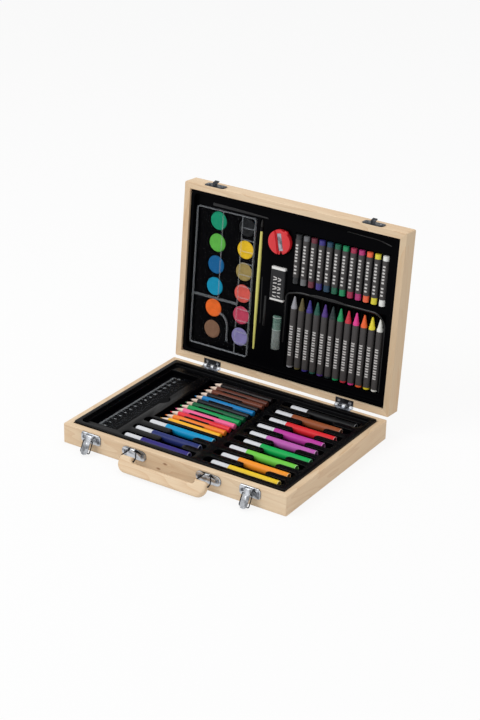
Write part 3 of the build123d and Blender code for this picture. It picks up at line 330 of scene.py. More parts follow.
black_tray = black_sheet("black_tray_polystyrene", 0.13)
black_deep = black_sheet("deep_black_tray_polystyrene", 0.02)
# A lighter, glossier copy of the tray's black for the lid's ridges and beads: painted highlight.
black_ridge = black_sheet("highlight_black_polystyrene", 0.38, "#0B0B0E", 0.28)
steel = plated("zinc_plated_steel")
red = moulded("red_polystyrene", "#D9262E")
black_palette = black_sheet("black_palette_polystyrene", 0.02)
black_ferrule = plated("blackened_aluminium", "#1B1B1D", 0.35)
screw_steel = plated("zinc_plated_screw", "#8A8D94", 0.3)
dark_wire = plated("drawn_spring_wire", "#27282B", 0.3)
red_shade = moulded("shaded_red_polystyrene", "#3A1018", 0.5)
# A darker copy of the plated steel, as painted shade: on the plates' thin edges and rolled tops, the catches
# and the lid's hinge leaves.
shaded_steel = plated("shaded_zinc_plated_steel", "#4E5055", 0.28)
blade_steel = plated("ground_blade_steel", "#A9A6AF", 0.2)
bare_wood = pine("sharpened_lime_wood", "X", 2.0, "#F2E0D2", "#D8B79E")
white_cap = moulded("white_polyethylene", "#D5D7DC", 0.35, 0.02)
felt = fibrous("pen_felt", "#3A5FA8", 0.95)
yellow_lacquer = lacquer("yellow_lacquer", "#DDD878")
dark_hair = fibrous("goat_hair", "#0F0D0C", 0.6)
rubber = fibrous("vinyl_eraser", "#E9E8E6", 0.6)
black_card = fibrous("black_card", "#111216", 0.6)
paper = fibrous("dark_wrapper_paper", "#423F3F", 0.62)
pale_print = fibrous("pale_printing_ink", "#CFCDCB", 0.55)
ruler_ink = fibrous("ruler_ink", "#B9BEC2", 0.6)
glue = waxy("glue", "#9AA79E", 0.5)
clear_ruler = clear("clear_polystyrene_ruler", "#2E3338", 0.0, 0.1, 0.15)
clear_flat = clear("clear_polystyrene_sheet", "#C8CED4", 0.0, 0.004)
# Pale and nearly opaque on the cover's ribs and edges: painted highlight.
clear_edge = clear("clear_polystyrene_highlight_edge", "#C6CCD2", 0.12, 0.55)
grey_clear = clear("grey_polystyrene", "#8A9390", 0.5, 0.85)
green_clear = clear("green_polystyrene", "#6E9486", 0.35, 0.85)
pale_rim = clear("highlight_polystyrene_rim", "#B9C6C1", 0.7, 0.95)


# --- Making pieces --------------------------------------------------------------------------------

def pick(piece):
    """Leave everything unselected but one piece."""
    if bpy.context.object and bpy.context.object.mode != "OBJECT":
        bpy.ops.object.mode_set(mode="OBJECT")
    bpy.ops.object.select_all(action="DESELECT")
    if piece:
        piece.select_set(True)
    bpy.context.view_layer.objects.active = piece


def edit(piece, everything="SELECT", mode="FACE"):
    """Open a piece for editing, with all of it selected or none."""
    pick(piece)
    bpy.ops.object.mode_set(mode="EDIT")
    bpy.ops.mesh.select_mode(type=mode)
    bpy.ops.mesh.select_all(action=everything)


def close_edit():
    """Go back from editing, with faces outwards."""
    bpy.ops.mesh.select_all(action="SELECT")
    bpy.ops.mesh.normals_make_consistent(inside=False)
    bpy.ops.object.mode_set(mode="OBJECT")


def apply(piece, kind, **settings):
    """Put a modifier on a piece and apply it."""
    pick(piece)
    modifier = piece.modifiers.new(kind.title(), kind)
    for key, value in settings.items():
        setattr(modifier, key, value)
    bpy.ops.object.modifier_apply(modifier=modifier.name)


def rounded(piece, radius, steps=2, angle=35):
    """Round a piece's sharp edges."""
    apply(piece, "BEVEL", limit_method="ANGLE", angle_limit=radians(angle), width=radius * MM,
          segments=steps, use_clamp_overlap=False, miter_outer="MITER_ARC")
    return piece


def smooth(piece):
    """Shade a piece smooth, but for its sharp edges."""
    pick(piece)
    bpy.ops.object.shade_smooth_by_angle(angle=radians(32))
    return piece


def placed(piece, place):
    """Move a piece's own mesh to its place."""
    piece.data.transform(place)
    return piece


def copied(piece, name, place=None):
    """A copy with its own mesh."""
    twin = bpy.data.objects.new(name, piece.data.copy())
    bpy.context.scene.collection.objects.link(twin)
    return placed(twin, place) if place is not None else twin


def drop(*pieces):
    """Delete models that have done their work."""
    for piece in pieces:
        bpy.data.objects.remove(piece)


def joined(name, pieces):
    """Several meshes as one piece."""
    pick(pieces[0])
    for piece in pieces:
        piece.select_set(True)
    bpy.ops.object.join()
    pieces[0].name = name
    return pieces[0]


def turned(name, rings, steps=32):
    """A turned piece about Z: a disc drawn on through rings of (radius, height)."""
    pick(None)
    (radius, height), rest = rings[0], rings[1:]
    bpy.ops.mesh.primitive_circle_add(vertices=steps, radius=radius * MM, fill_type="NGON")
    piece = bpy.context.object
    piece.name = name
    placed(piece, shift(0, 0, height))
    edit(piece)
    for new_radius, new_height in rest:
        bpy.ops.mesh.extrude_region_move(
            TRANSFORM_OT_translate={"value": (0, 0, (new_height - height) * MM)})
        if new_radius != radius:
            ratio = new_radius / radius
            bpy.ops.transform.resize(value=(ratio, ratio, 1), center_override=(0, 0, new_height * MM))
        radius, height = new_radius, new_height
    close_edit()
    return piece


def block(name, low, high):
    """A plain block between two corners, to be shaped further."""
    pick(None)
    bpy.ops.mesh.primitive_cube_add(size=1.0)
    piece = bpy.context.object
    piece.name = name
    size = [b - a for a, b in zip(low, high)]
    middle = [(a + b) / 2 for a, b in zip(low, high)]
    return placed(piece, shift(*middle) @ Matrix.Diagonal([v * MM for v in size] + [1.0]))


def plate(name, outline, low, high):
    """A flat plate with an outline of (x, y) points, drawn up from low to high."""
    pick(None)
    bpy.ops.mesh.primitive_circle_add(vertices=len(outline), radius=MM, fill_type="NGON")
    piece = bpy.context.object
    piece.name = name
    for vertex, (x, y) in zip(piece.data.vertices, outline):
        vertex.co = Vector((x, y, low)) * MM
    edit(piece)
    bpy.ops.mesh.extrude_region_move(TRANSFORM_OT_translate={"value": (0, 0, (high - low) * MM)})
    close_edit()
    return piece


BEND_STEPS = 5


def wire(name, points, radius, corner, closed=False):
    """Round wire bent through points, with a bend of one radius at each corner."""
    line = bpy.data.curves.new(name, "CURVE")
    line.dimensions = "3D"
    line.bevel_depth = radius * MM
    line.bevel_resolution = 3
    line.use_fill_caps = True
    spots = [Vector(p) for p in points]
    bends = []
    for i, spot in enumerate(spots):
        if not closed and i in (0, len(spots) - 1):
            bends.append(spot)
            continue
        before = spots[i - 1] - spot
        after = spots[(i + 1) % len(spots)] - spot
        reach = min(corner, before.length * 0.48, after.length * 0.48)
        first, last = spot + before.normalized() * reach, spot + after.normalized() * reach
        for k in range(BEND_STEPS + 1):
            t = k / BEND_STEPS
            bends.append(first * (1 - t) ** 2 + spot * 2 * t * (1 - t) + last * t ** 2)
    run = line.splines.new("POLY")
    run.points.add(len(bends) - 1)
    for point, bend in zip(run.points, bends):
        point.co = (*(bend * MM), 1.0)
    run.use_cyclic_u = closed
    piece = bpy.data.objects.new(name, line)
    bpy.context.scene.collection.objects.link(piece)
    pick(piece)
    bpy.ops.object.convert(target="MESH")
    piece = bpy.context.object
    edit(piece)
    bpy.ops.mesh.remove_doubles(threshold=MERGE_DISTANCE)
    close_edit()
    return piece


def traced(node):
    """A merged copy of a CAD node's shape, to be given softer edges."""
    piece = bpy.data.objects.new(node + "_piece", nodes[node].data.copy())
    bpy.context.scene.collection.objects.link(piece)
    edit(piece)
    bpy.ops.mesh.remove_doubles(threshold=MERGE_DISTANCE)
    bpy.ops.mesh.dissolve_limited(angle_limit=radians(0.5))
    bpy.ops.object.mode_set(mode="OBJECT")
    return piece


def softened(piece, radius, levels):
    """Round the sharp edges that lie at some heights, and fill the flat faces between them again."""
    edit(piece, "DESELECT", "EDGE")
    bpy.ops.mesh.edges_select_sharp(sharpness=radians(35))
    bpy.ops.object.mode_set(mode="OBJECT")
    heights = [vertex.co.z / MM for vertex in piece.data.vertices]
    for line in piece.data.edges:
        line.select = line.select and any(all(abs(heights[end] - level) < 0.01 for end in line.vertices)
                                          for level in levels)
    bpy.ops.object.mode_set(mode="EDIT")
    bpy.ops.mesh.bevel(offset=radius * MM, segments=3, affect="EDGES")
    for level in levels:
        edit(piece, "DESELECT")
        bpy.ops.object.mode_set(mode="OBJECT")
        for face in piece.data.polygons:
            face.select = abs(face.normal.z) > 0.999 and abs(face.center.z / MM - level) < 0.01
        bpy.ops.object.mode_set(mode="EDIT")
        bpy.ops.mesh.delete(type="FACE")
        bpy.ops.mesh.select_mode(type="EDGE")
        bpy.ops.mesh.select_all(action="DESELECT")
        bpy.ops.mesh.select_non_manifold(extend=False, use_wire=False, use_boundary=True,
                                         use_multi_face=False, use_non_contiguous=False, use_verts=False)
        bpy.ops.mesh.fill(use_beauty=True)
        close_edit()
    return piece


def cut(piece, tool):
    """Take one shape out of another."""
    apply(piece, "BOOLEAN", object=tool, operation="DIFFERENCE", solver="EXACT")
    drop(tool)
    return piece


def show(piece, body, slot, replaced, *materials):
    """Give a finished piece its body, the node it stands for, if any, and its materials. The slot is not
    used.
    """
    if materials:
        piece.data.materials.clear()
        for material in materials:
            piece.data.materials.append(material)
    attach(piece, body)
    if replaced:
        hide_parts(replaced)


def faces_with(piece, material_index, test):
    """Give the faces that pass a test, by their middle and normal in millimetres, a material."""
    for face in piece.data.polygons:
        if test(face.center / MM, face.normal):
            face.material_index = material_index


# --- The case and its metal fittings --------------------------------------------------------------

BOARD_PINE = "#E8D2B3"
# A darker pine for the lid's right board: painted shade on that side.
SHADED_BOARD_PINE = "#D8C3A4"


def make_case_looks():
    """Pine on the case's boards, panels and grip, each with its own run of grain; the lid's right board is
    painted darker as shade.
    """
    boards = {
        "base_front_board": ("X", 1.3, (((-8, -111.5, 15.0), 1.5), ((-17, -111.5, 6.5), 1.4))),
        "base_back_board": ("X", 2.9, ()),
        "base_left_board": ("Y", 4.1, ()),
        "base_right_board": ("Y", 5.6, ()),
        "lid_front_board": ("X", 7.2, (((-88, 130, 254), 1.3),)),
        "lid_back_board": ("X", 8.8, ()),
        "lid_left_board": ("Z", 10.3, ()),
        "lid_right_board": ("Z", 12.4, ()),
        "lid_top_panel": ("X", 14.0, ()),
        "base_bottom_panel": ("X", 15.5, ()),
    }
    for name, (along, seed, knots) in boards.items():
        pale = SHADED_BOARD_PINE if name == "lid_right_board" else BOARD_PINE
        dress(name, pine("pine_" + name, along, seed, pale, knots=knots))
    dress("handle_grip", pine("pine_handle_grip", "X", 18.2, knots=(((-32, -131, 9), 1.5),)))


LATCHES = {"left": -110.0, "right": 104.0}
LATCH_PIVOT = (20.2, 3.6)
LEVER_ANGLE = 29.0
HANDLE_PLATES = {"left": -50.0, "right": 50.0}
HANDLE_PIVOT = (20.5, 2.5)
LINK_ANGLE = 61.025
PLATE_THICKNESS = 1.0
# The screws of each kind of plate: half their spacing, and their height on the board.
LATCH_SCREWS = (9.7, 16.25)
CATCH_SCREWS = (9.7, 6.4)
HANDLE_SCREWS = (11.5, 15.45)


def cross_screw():
    """A domed screw head with a cross recess, its underside at z = 0."""
    head = turned("screw", [(1.0, -2.0), (1.0, 0.0), (2.1, 0.0), (2.1, 0.35), (1.85, 0.75), (1.2, 1.02),
                            (0.5, 1.1)], 24)
    for angle in (0, 90):
        arm = block("arm", (-1.25, -0.24, 0.55), (1.25, 0.24, 2.0))
        apply(arm, "BEVEL", width=0.08 * MM, segments=1)
        cut(head, placed(arm, turn(angle, "Z")))
    return smooth(head)


def is_edge(centre, normal):
    """Whether a face of a plate on the base's front is on its thin edge, which is painted dark as shade."""
    return abs(normal.y) < 0.6 and centre.y > FRONT_Y - 1.2 * PLATE_THICKNESS


def make_fittings():
    """Latches, catches, hinges and the handle's metal."""
    screw = cross_screw()
    rows = []
    for side, x in LATCHES.items():
        name = f"latch_plate_{side}"
        latch_plate = rounded(traced(name), 0.22)
        roll = placed(wire("roll", [(-11.5, 22.2, 1.05), (11.5, 22.2, 1.05)], 0.95, 1.0), on_base_front(x))
        show(smooth(joined(name, [latch_plate, roll])), "base", "plated_steel", name, steel, shaded_steel)
        faces_with(latch_plate, 1, is_edge)
        for end in (-1, 1):
            rows.append(("base", "latch_plate_screws", on_base_front(x), end, LATCH_SCREWS))
            rows.append(("lid", "catch_screws", on_lid_front(x), end, CATCH_SCREWS))
        hanging = on_base_front(x) @ shift(0, *LATCH_PIVOT) @ turn(-LEVER_ANGLE, "X")
        name = f"latch_lever_{side}"
        lever = rounded(traced(name), 0.25)
        boss = turned("boss", [(3.0, 1.5), (2.7, 2.05), (2.2, 2.2)], 32)
        placed(boss, hanging @ shift(0, -11.5, 0) @ Matrix.Diagonal((0.75, 1.5, 1.0, 1.0)))
        lip = placed(wire("lip", [(-3.2, -20.1, 1.75), (0, -21.35, 2.0), (3.2, -20.1, 1.75)], 0.6, 1.5),
                     hanging)
        show(smooth(joined(name, [lever, boss, lip])), name, "plated_steel", name, steel)
        name = f"latch_bail_{side}"
        bail = wire(name, [(-3.1, -4.5, -0.2), (-6.2, -4.5, -0.2), (-6.2, -18.9, -0.2),
                           (6.2, -18.9, -0.2), (6.2, -4.5, -0.2), (3.1, -4.5, -0.2)], 0.6, 1.6)
        show(smooth(placed(bail, hanging)), name, "spring_wire", name, dark_wire)
    for x in HANDLE_PLATES.values():
        for end in (-1, 1):
            rows.append(("base", "handle_plate_screws", on_base_front(x), end, HANDLE_SCREWS))
    for i, (body, node, front, end, (half_spacing, height)) in enumerate(rows):
        place = front @ shift(end * half_spacing, height, PLATE_THICKNESS) @ turn(37 * i, "Z")
        show(copied(screw, f"cross_screw_{i:02d}", place), body, "plated_steel", node, screw_steel)
    drop(screw)
    # The catches and the lid's hinge leaves are in the darker steel as painted shade; the base's hinge
    # leaves stay bright.
    plates = [("catches", "lid", 0.2, (shaded_steel,)), ("handle_plates", "base", 0.25, (steel, shaded_steel))]
    plates += [(f"hinge_{body}_leaf_{side}", body, 0.12, (metal,))
               for body, metal in (("base", steel), ("lid", shaded_steel)) for side in LATCHES]
    for name, body, radius, metals in plates:
        piece = rounded(traced(name), radius)
        show(smooth(piece), body, "plated_steel", name, *metals)
        if name == "handle_plates":
            faces_with(piece, 1, is_edge)
    for side, x in HANDLE_PLATES.items():
        hanging = on_base_front(x) @ shift(0, *HANDLE_PIVOT) @ turn(-LINK_ANGLE, "X")
        link = wire(f"handle_link_{side}", [(0, 0, 0), (-4.3, 0, 0), (-9.2, -9.3, 0), (-9.2, -13.8, 0),
                                            (9.2, -13.8, 0), (9.2, -9.3, 0), (4.3, 0, 0)],
                    0.73, 0.7, closed=True)
        show(smooth(placed(link, hanging)), "handle_links", "spring_wire", "handle_links", dark_wire)


# --- The base's contents --------------------------------------------------------------------------

PENCIL_PLACES = [(-73.3, 84.2 - 10.15 * i, 18.8) for i in range(12)]
PENCIL_COLOURS = ["#171012", "#5C3024", "#6E3A2A", "#1A1216", "#147CBC", "#101A22", "#0F5C38", "#109A52",
                  "#F0679A", "#E2313D", "#F0812C", "#F7B52B"]
LEFT_PENS = [(-76.7, -41.7, "#0092C6"), (-80.8, -63.4, "#26326E"), (-80.8, -85.1, "#30287A")]
RIGHT_PENS = list(zip([37.1, 29.0, 33.4, 30.3, 33.1, 38.3, 32.8, 35.5, 35.8],
                      [83.9 - 20.9 * i for i in range(9)],
                      ["#08090C", "#94502E", "#DC2730", "#BC3A9F", "#B95BAE", "#0CA951", "#6DC845",
                       "#F3962A", "#EBC62C"]))
PAINT_END = 11.95
PEN_Z = 17.2
PEN_LIP = 86.6
RULER = ((-126.9, -83.0, 15.0), (-102.9, 81.0, 17.0))
RULER_THINNING = 0.9
ZERO_MARK = -76.0
SCALE_LENGTH = 150


def make_pencils():
    """Twelve round pencils with sharpened points and lacquered tails."""
    barrel = turned("pencil", [(1.12, 80.3), (1.12, 83.3), (3.1, 83.3), (3.5, 82.9), (3.5, 60.0),
                               (3.5, 35.0), (3.5, 12.5), (3.38, 12.0), (3.3, 11.8), (2.2, 7.4),
                               (1.12, 3.0)], 32)
    for vertex in barrel.data.vertices:
        x, y, z = vertex.co / MM
        if 11.7 < z < 12.55:
            vertex.co.z += 0.45 * MM * (x * x - y * y) / 11.5
    lead = turned("lead", [(1.08, 83.24), (1.08, 3.1), (0.95, 2.4), (0.4, 0.25), (0.2, 0.0)], 16)
    for i, (place, colour) in enumerate(zip(PENCIL_PLACES, PENCIL_COLOURS)):
        spot = shift(*place) @ TO_X @ turn(29 * i, "Z")
        piece = copied(barrel, f"pencil_barrel_{i:02d}")
        piece.data.materials.append(lacquer(f"pencil_lacquer_{i:02d}", colour))
        piece.data.materials.append(bare_wood)
        faces_with(piece, 1, lambda c, n: c.z < PAINT_END)
        show(smooth(placed(piece, spot)), "pencils", "pencil_paint", "pencil_barrels")
        core = copied(lead, f"pencil_lead_{i:02d}", spot)
        show(smooth(core), "pencils", "pencil_lead", "pencil_leads",
             waxy(f"pencil_core_{i:02d}", colour, 0.5))
    drop(barrel, lead)


def make_pens():
    """Twelve felt pens: white caps with a ribbed mouth, coloured barrels whose lip is painted paler as a
    highlight, and dished plugs painted darker as shade.
    """
    cap = turned("cap", [(4.0, 1.2), (4.0, 22.35), (4.1, 22.45), (4.6, 22.45), (4.7, 22.3), (4.7, 20.6),
                         (4.52, 20.45), (4.52, 20.1), (4.7, 19.95), (4.7, 19.3), (4.52, 19.15),
                         (4.52, 18.8), (4.7, 18.65), (4.7, 2.2), (4.55, 0.9), (4.1, 0.25), (3.3, 0.0),
                         (2.0, 0.0), (1.9, 0.35)], 40)
    barrel = turned("barrel", [(3.8, 12.0), (3.8, 22.5), (4.8, 22.5), (5.0, 22.75), (5.0, 40.0),
                               (5.0, 60.0), (5.0, 82.6), (4.83, 82.8), (4.83, 83.2), (5.0, 83.4),
                               (5.0, 86.6), (4.8, 86.95), (4.35, 87.0), (4.14, 86.7), (4.12, 84.0)], 40)
    plug = turned("plug", [(4.08, 84.1), (4.08, 86.2), (3.9, 86.4), (2.9, 86.45), (2.6, 86.1),
                           (1.2, 86.0)], 32)
    for i, (x, y, colour) in enumerate(LEFT_PENS + RIGHT_PENS):
        spot = shift(x, y, PEN_Z) @ TO_X @ turn(31 * i, "Z")
        show(smooth(copied(cap, f"felt_pen_cap_{i:02d}", spot)), "felt_pens", "white_plastic",
             "felt_pen_caps", white_cap)
        body = copied(barrel, f"felt_pen_barrel_{i:02d}")
        paint = moulded(f"pen_polypropylene_{i:02d}", colour, 0.38, shine=0.2)
        body.data.materials.append(paint)
        # The lip is painted paler than the barrel: painted highlight.
        body.data.materials.append(moulded(f"highlight_lip_polypropylene_{i:02d}", paler(colour), 0.22))
        faces_with(body, 1, lambda c, n: c.z > PEN_LIP)
        show(smooth(placed(body, spot)), "felt_pens", "pen_plastic", "felt_pen_barrels")
        # The plugs are painted darker, as shade down inside the barrels.
        show(smooth(copied(plug, f"felt_pen_plug_{i:02d}", spot)), "felt_pens", "pen_plastic",
             "felt_pen_plugs", moulded(f"shaded_plug_polypropylene_{i:02d}", darker(colour), 0.4))
    drop(cap, barrel, plug)
    dress("felt_pen_nibs", felt)
    dress("felt_pen_ink_cores", felt)


def make_ruler():
    """The clear ruler: a thinned edge, a hanging hole, and its scale on top."""
    (left, _, _), (right, _, _) = RULER
    body = block("ruler", *RULER)
    for vertex in body.data.vertices:
        if vertex.co.x < -120 * MM and vertex.co.z > 16 * MM:
            vertex.co.z -= RULER_THINNING * MM
    edit(body, "DESELECT", "EDGE")
    bpy.ops.object.mode_set(mode="OBJECT")
    for line in body.data.edges:
        top, foot = (body.data.vertices[end].co.z for end in line.vertices)
        line.select = abs(top - foot) > 0.5 * MM
    bpy.ops.object.mode_set(mode="EDIT")
    bpy.ops.mesh.bevel(offset=2.0 * MM, segments=6, affect="EDGES")
    close_edit()
    hole = turned("hole", [(2.5, 10.0), (2.5, 22.0)], 32)
    cut(body, placed(hole, shift(-114.9, 75.0, 0)))
    show(smooth(rounded(body, 0.2)), "ruler", "clear_plastic", "ruler", clear_ruler)
    marks = []
    for i in range(SCALE_LENGTH + 1):
        length = 6.0 if i % 10 == 0 else 4.2 if i % 5 == 0 else 2.8
        y, start = ZERO_MARK + i, left + 0.8
        mark = plate("mark", [(start, y - 0.11), (start + length, y - 0.11), (start + length, y + 0.11),
                              (start, y + 0.11)], 0.0, 0.04)
        for vertex in mark.data.vertices:
            rise = RULER_THINNING * (vertex.co.x / MM - left) / (right - left)
            vertex.co.z += (16.12 + rise) * MM
        marks.append(mark)
    for i in range(SCALE_LENGTH // 10 + 1):
        text = bpy.data.curves.new("digit", "FONT")
        text.body, text.size, text.align_x, text.align_y = str(i), 4.6 * MM, "CENTER", "CENTER"
        digit = bpy.data.objects.new("digit", text)
        bpy.context.scene.collection.objects.link(digit)
        pick(digit)
        bpy.ops.object.convert(target="MESH")
        digit = bpy.context.object
        placed(digit, shift(-117.2, ZERO_MARK + 10 * i, 16.57) @ turn(-90, "Z"))
        marks.append(digit)
    show(joined("ruler_scale", marks), "ruler", "clear_plastic", None, ruler_ink)


BASE_TRAY_LEVELS = (21.6, 26.0)
POCKET_TOP = 21.0
LID_TRAY_LEVELS = (13.0, 19.5)


def make_base_contents():
    """The base's tray, ruler, pencils and pens."""
    tray = softened(traced("base_tray"), 0.5, BASE_TRAY_LEVELS)
    show(smooth(tray), "base", "black_tray", "base_tray", black_tray, black_deep)
    faces_with(tray, 1, lambda c, n: c.z < POCKET_TOP)
    make_ruler()
    make_pencils()
    make_pens()


# --- The lid's contents ---------------------------------------------------------------------------

BRUSH_PLACE = (-44.2, 0.0, 12.5)
SHARPENER_PLACE = (-16.7, 62.8, 8.0)
GLUE_PLACE = (-14.2, 0.0, 11.0)
CAKES_X = (-105.8, -65.8)
CAKES_Y = [-69.4 + 27.6 * i for i in range(6)]
CAKE_LEVEL = 7.8
COVER_SHEET_TOP = 13.3
CAKE_COLOURS = [["#81604A", "#F06C24", "#008FB5", "#005D94", "#5AB044", "#008D68"],
                ["#8C84BA", "#C5435F", "#DB5A50", "#9C8850", "#EABF20", "#0E1114"]]
STICKS_X = [6.9 + 10.5 * i for i in range(12)]
CRAYON_COLOURS = ["#9A9AA0", "#5C522C", "#3A2F84", "#0F5244", "#4C2C80", "#18282A", "#129458", "#C8293B",
                  "#E2358F", "#F4652C", "#ECDA2E", "#EDEDE7"]
PASTEL_COLOURS = ["#232528", "#6C6E71", "#6A2836", "#372E80", "#1B3F58", "#0C5C42", "#128A58", "#A2254A",
                  "#B22A72", "#EE6440", "#E2D63A", "#EBEDEA"]


def make_palette():
    """The palette, its round cakes, and the clear cover with its ribs and mixing wells."""
    show(smooth(rounded(traced("paint_palette"), 0.5, 3)), "palette",
         "palette_plastic", "paint_palette", black_palette)
    cake = turned("cake", [(11.5, 0.0), (11.5, 2.5), (11.3, 2.95), (10.7, 3.25), (9.6, 3.35), (8.0, 3.25),
                           (5.0, 3.05), (2.0, 2.98)], 48)
    for column, (x, colours) in enumerate(zip(CAKES_X, CAKE_COLOURS)):
        for row, (y, colour) in enumerate(zip(CAKES_Y, colours)):
            piece = copied(cake, f"paint_cake_{column}{row}", LID @ shift(x, y, CAKE_LEVEL))
            show(smooth(piece), "palette", "watercolour", "paint_cakes",
                 pressed_paint(f"watercolour_{column}{row}", colour))
    drop(cake)
    cover = rounded(traced("paint_cover"), 0.22)
    bends = [(94.5, 46.0), (89.5, 48.0), (85.6, 52.5), (83.6, 58.0), (83.0, 64.0), (83.0, 79.0)]
    inner = [(-x - 0.2, -y) for x, y in bends]
    outer = [(-x + 1.7, -y + (1.6 if i < 3 else 0.6 if i < 4 else 0.0)) for i, (x, y) in enumerate(bends)]
    arc = rounded(plate("arc", inner + outer[::-1], 13.0, 14.9), 0.3)
    piece = joined("paint_cover_piece", [cover, placed(arc, LID)])
    show(smooth(piece), "palette_cover", "clear_plastic", "paint_cover", clear_flat, clear_edge)
    out, back = LID.to_3x3() @ Vector((0, 0, 1)), LID.inverted()
    # Ribs, walls and the sheet's top edges get the pale copy: painted highlight.
    faces_with(piece, 1, lambda c, n: abs(n.dot(out)) <= 0.99 or (back @ (c * MM)).z / MM >= COVER_SHEET_TOP)


def make_brush():
    """The brush: a spindle-shaped lacquered handle, a crimped ferrule and a pointed tuft."""
    place = LID @ shift(*BRUSH_PLACE) @ TO_Y
    handle = turned("brush_handle_piece", [(0.75, -79.0), (1.15, -78.6), (1.35, -70.0), (1.7, -45.0),
                                           (2.05, -15.0), (2.2, 10.0), (2.1, 35.0), (1.8, 55.0),
                                           (1.6, 66.0), (1.6, 70.4)], 24)
    show(smooth(placed(handle, place)), "brush", "yellow_lacquer", "brush_handle", yellow_lacquer)
    ferrule = turned("brush_ferrule_piece", [(1.3, 69.6), (1.85, 69.6), (1.9, 69.9), (1.8, 70.6),
                                             (1.95, 70.9), (1.8, 71.2), (1.9, 71.5), (1.75, 71.8),
                                             (1.6, 74.8), (1.4, 75.0)], 24)
    show(smooth(placed(ferrule, place)), "brush", "ferrule_metal", "brush_ferrule", black_ferrule)
    tuft = turned("brush_bristles_piece", [(1.35, 74.8), (1.6, 77.0), (1.45, 79.5), (0.95, 82.0),
                                           (0.4, 83.6), (0.12, 84.0)], 24)
    show(smooth(placed(tuft, place)), "brush", "brush_hair", "brush_bristles", dark_hair)


def make_sharpener():
    """The round sharpener: a ribbed rim, a finger lug, its steel blade and screw, and a dark red block of
    painted shade under the blade.
    """
    place = LID @ shift(*SHARPENER_PLACE) @ turn(12, "Z")
    body = rounded(traced("sharpener_body"), 0.12)
    lug = plate("lug", [(6.0, 9.6), (11.2, 6.4), (12.6, 8.8), (12.9, 10.6), (12.2, 12.2), (10.6, 13.2),
                        (8.2, 13.2), (5.6, 12.0)], 5.6, 9.4)
    rounded(lug, 0.9, 3)
    show(smooth(joined("sharpener_body_piece", [body, placed(lug, place)])), "sharpener", "red_plastic",
         "sharpener_body", red)
    # A dark red block under the blade: painted shade in the sharpener's trough.
    trough_shade = rounded(block("blade_trough_shade", (-4.3, -10.2, 7.3), (4.3, 10.6, 7.78)), 0.15)
    show(smooth(placed(trough_shade, place)), "sharpener", "red_plastic", None, red_shade)
    blade = block("blade", (-3.25, -10.5, 7.8), (3.25, 10.5, 8.3))
    for vertex in blade.data.vertices:
        if vertex.co.x < 0 and vertex.co.z > 8.0 * MM:
            vertex.co.x += 1.3 * MM
    edit(blade)
    bpy.ops.mesh.bevel(offset=0.08 * MM, segments=1, affect="EDGES")
    close_edit()
    show(smooth(placed(blade, place)), "sharpener", "blade_steel", "sharpener_blade", blade_steel)
    screw = turned("sharpener_screw_piece", [(0.78, 5.9), (0.78, 8.3), (1.6, 8.3), (1.6, 8.75),
                                             (1.3, 9.05), (0.6, 9.1)], 24)
    slot = placed(block("slot", (-1.3, -0.2, 8.8), (1.3, 0.2, 9.6)), turn(25, "Z"))
    cut(screw, slot)
    show(smooth(placed(screw, place @ shift(2.25, 0, 0))), "sharpener", "blade_steel",
         "sharpener_screw", screw_steel)


def make_eraser():
    """The eraser in its card sleeve, with two plain printed rows of slanting bars."""
    show(smooth(rounded(traced("eraser_block"), 0.7, 3, angle=50)), "eraser",
         "eraser_rubber", "eraser_block", rubber)
    show(smooth(traced("eraser_sleeve")), "eraser", "black_card",
         "eraser_sleeve", black_card)
    bars = []
    for left, reach, low, pitch in ((-21.2, 5.0, -4.6, 3.9), (-14.8, 4.2, -4.0, 3.7)):
        for i in range(7):
            y, lean = low + pitch * i, (-0.9, 0.7, 1.6)[i % 3]
            outline = [(left, y), (left + reach, y + lean), (left + reach, y + lean + 1.3), (left, y + 1.3)]
            bars.append(plate("bar", outline, 16.5, 16.54))
    show(placed(joined("eraser_sleeve_print", bars), LID), "eraser", "black_card", None, pale_print)


def make_glue_stick():
    """The glue stick: a ribbed tube, a clear cap, a rim on each painted pale as a highlight, and the glue
    showing through.
    """
    place = LID @ shift(*GLUE_PLACE) @ TO_Y
    tube = turned("glue_tube_piece", [(4.9, -70.2), (4.9, -46.3), (5.7, -46.3), (5.85, -46.6),
                                      (5.85, -62.0), (5.6, -62.3), (5.85, -62.6), (5.85, -63.4),
                                      (5.6, -63.7), (5.85, -64.0), (5.85, -70.7), (5.5, -71.2),
                                      (4.0, -71.2)], 40)
    show(smooth(placed(tube, place)), "glue_stick", "glue_plastic", "glue_tube", grey_clear)
    cap = turned("glue_cap_piece", [(4.95, -30.1), (4.95, -46.1), (5.7, -46.1), (5.85, -45.9),
                                    (5.85, -44.6), (5.65, -44.3), (5.65, -31.0), (5.3, -29.5),
                                    (4.2, -29.2)], 40)
    show(smooth(placed(cap, place)), "glue_stick", "clear_plastic", "glue_cap", green_clear)
    # The rims are painted pale and nearly opaque: painted highlight.
    for name, foot in (("glue_tube_rim", -47.0), ("glue_cap_rim", -31.6)):
        rim = turned(name, [(5.2, foot), (5.88, foot), (6.0, foot + 0.2), (6.0, foot + 0.6),
                            (5.88, foot + 0.8), (5.2, foot + 0.8)], 40)
        show(smooth(placed(rim, place)), "glue_stick", "clear_plastic", None, pale_rim)
    core = turned("glue_core", [(4.6, -68.2), (4.6, -41.0), (4.2, -40.3), (2.5, -40.1)], 32)
    show(smooth(placed(core, place)), "glue_stick", "glue", "glue_stick", glue)


PRINT_RADIUS = 4.02


def wrapped_marks(name, rows, width, length, taper):
    """A row of small printed marks along a wrapper, lying on its curve."""
    marks = []
    for row in rows:
        pick(None)
        bpy.ops.mesh.primitive_grid_add(x_subdivisions=6, y_subdivisions=1, size=1.0)
        mark = bpy.context.object
        for vertex in mark.data.vertices:
            across, along = vertex.co.x, vertex.co.y
            reach = length * (1.0 - taper * abs(2 * across))
            angle = across * width / PRINT_RADIUS
            vertex.co = Vector((PRINT_RADIUS * sin(angle), row + along * reach,
                                PRINT_RADIUS * cos(angle))) * MM
        marks.append(mark)
    return joined(name, marks)


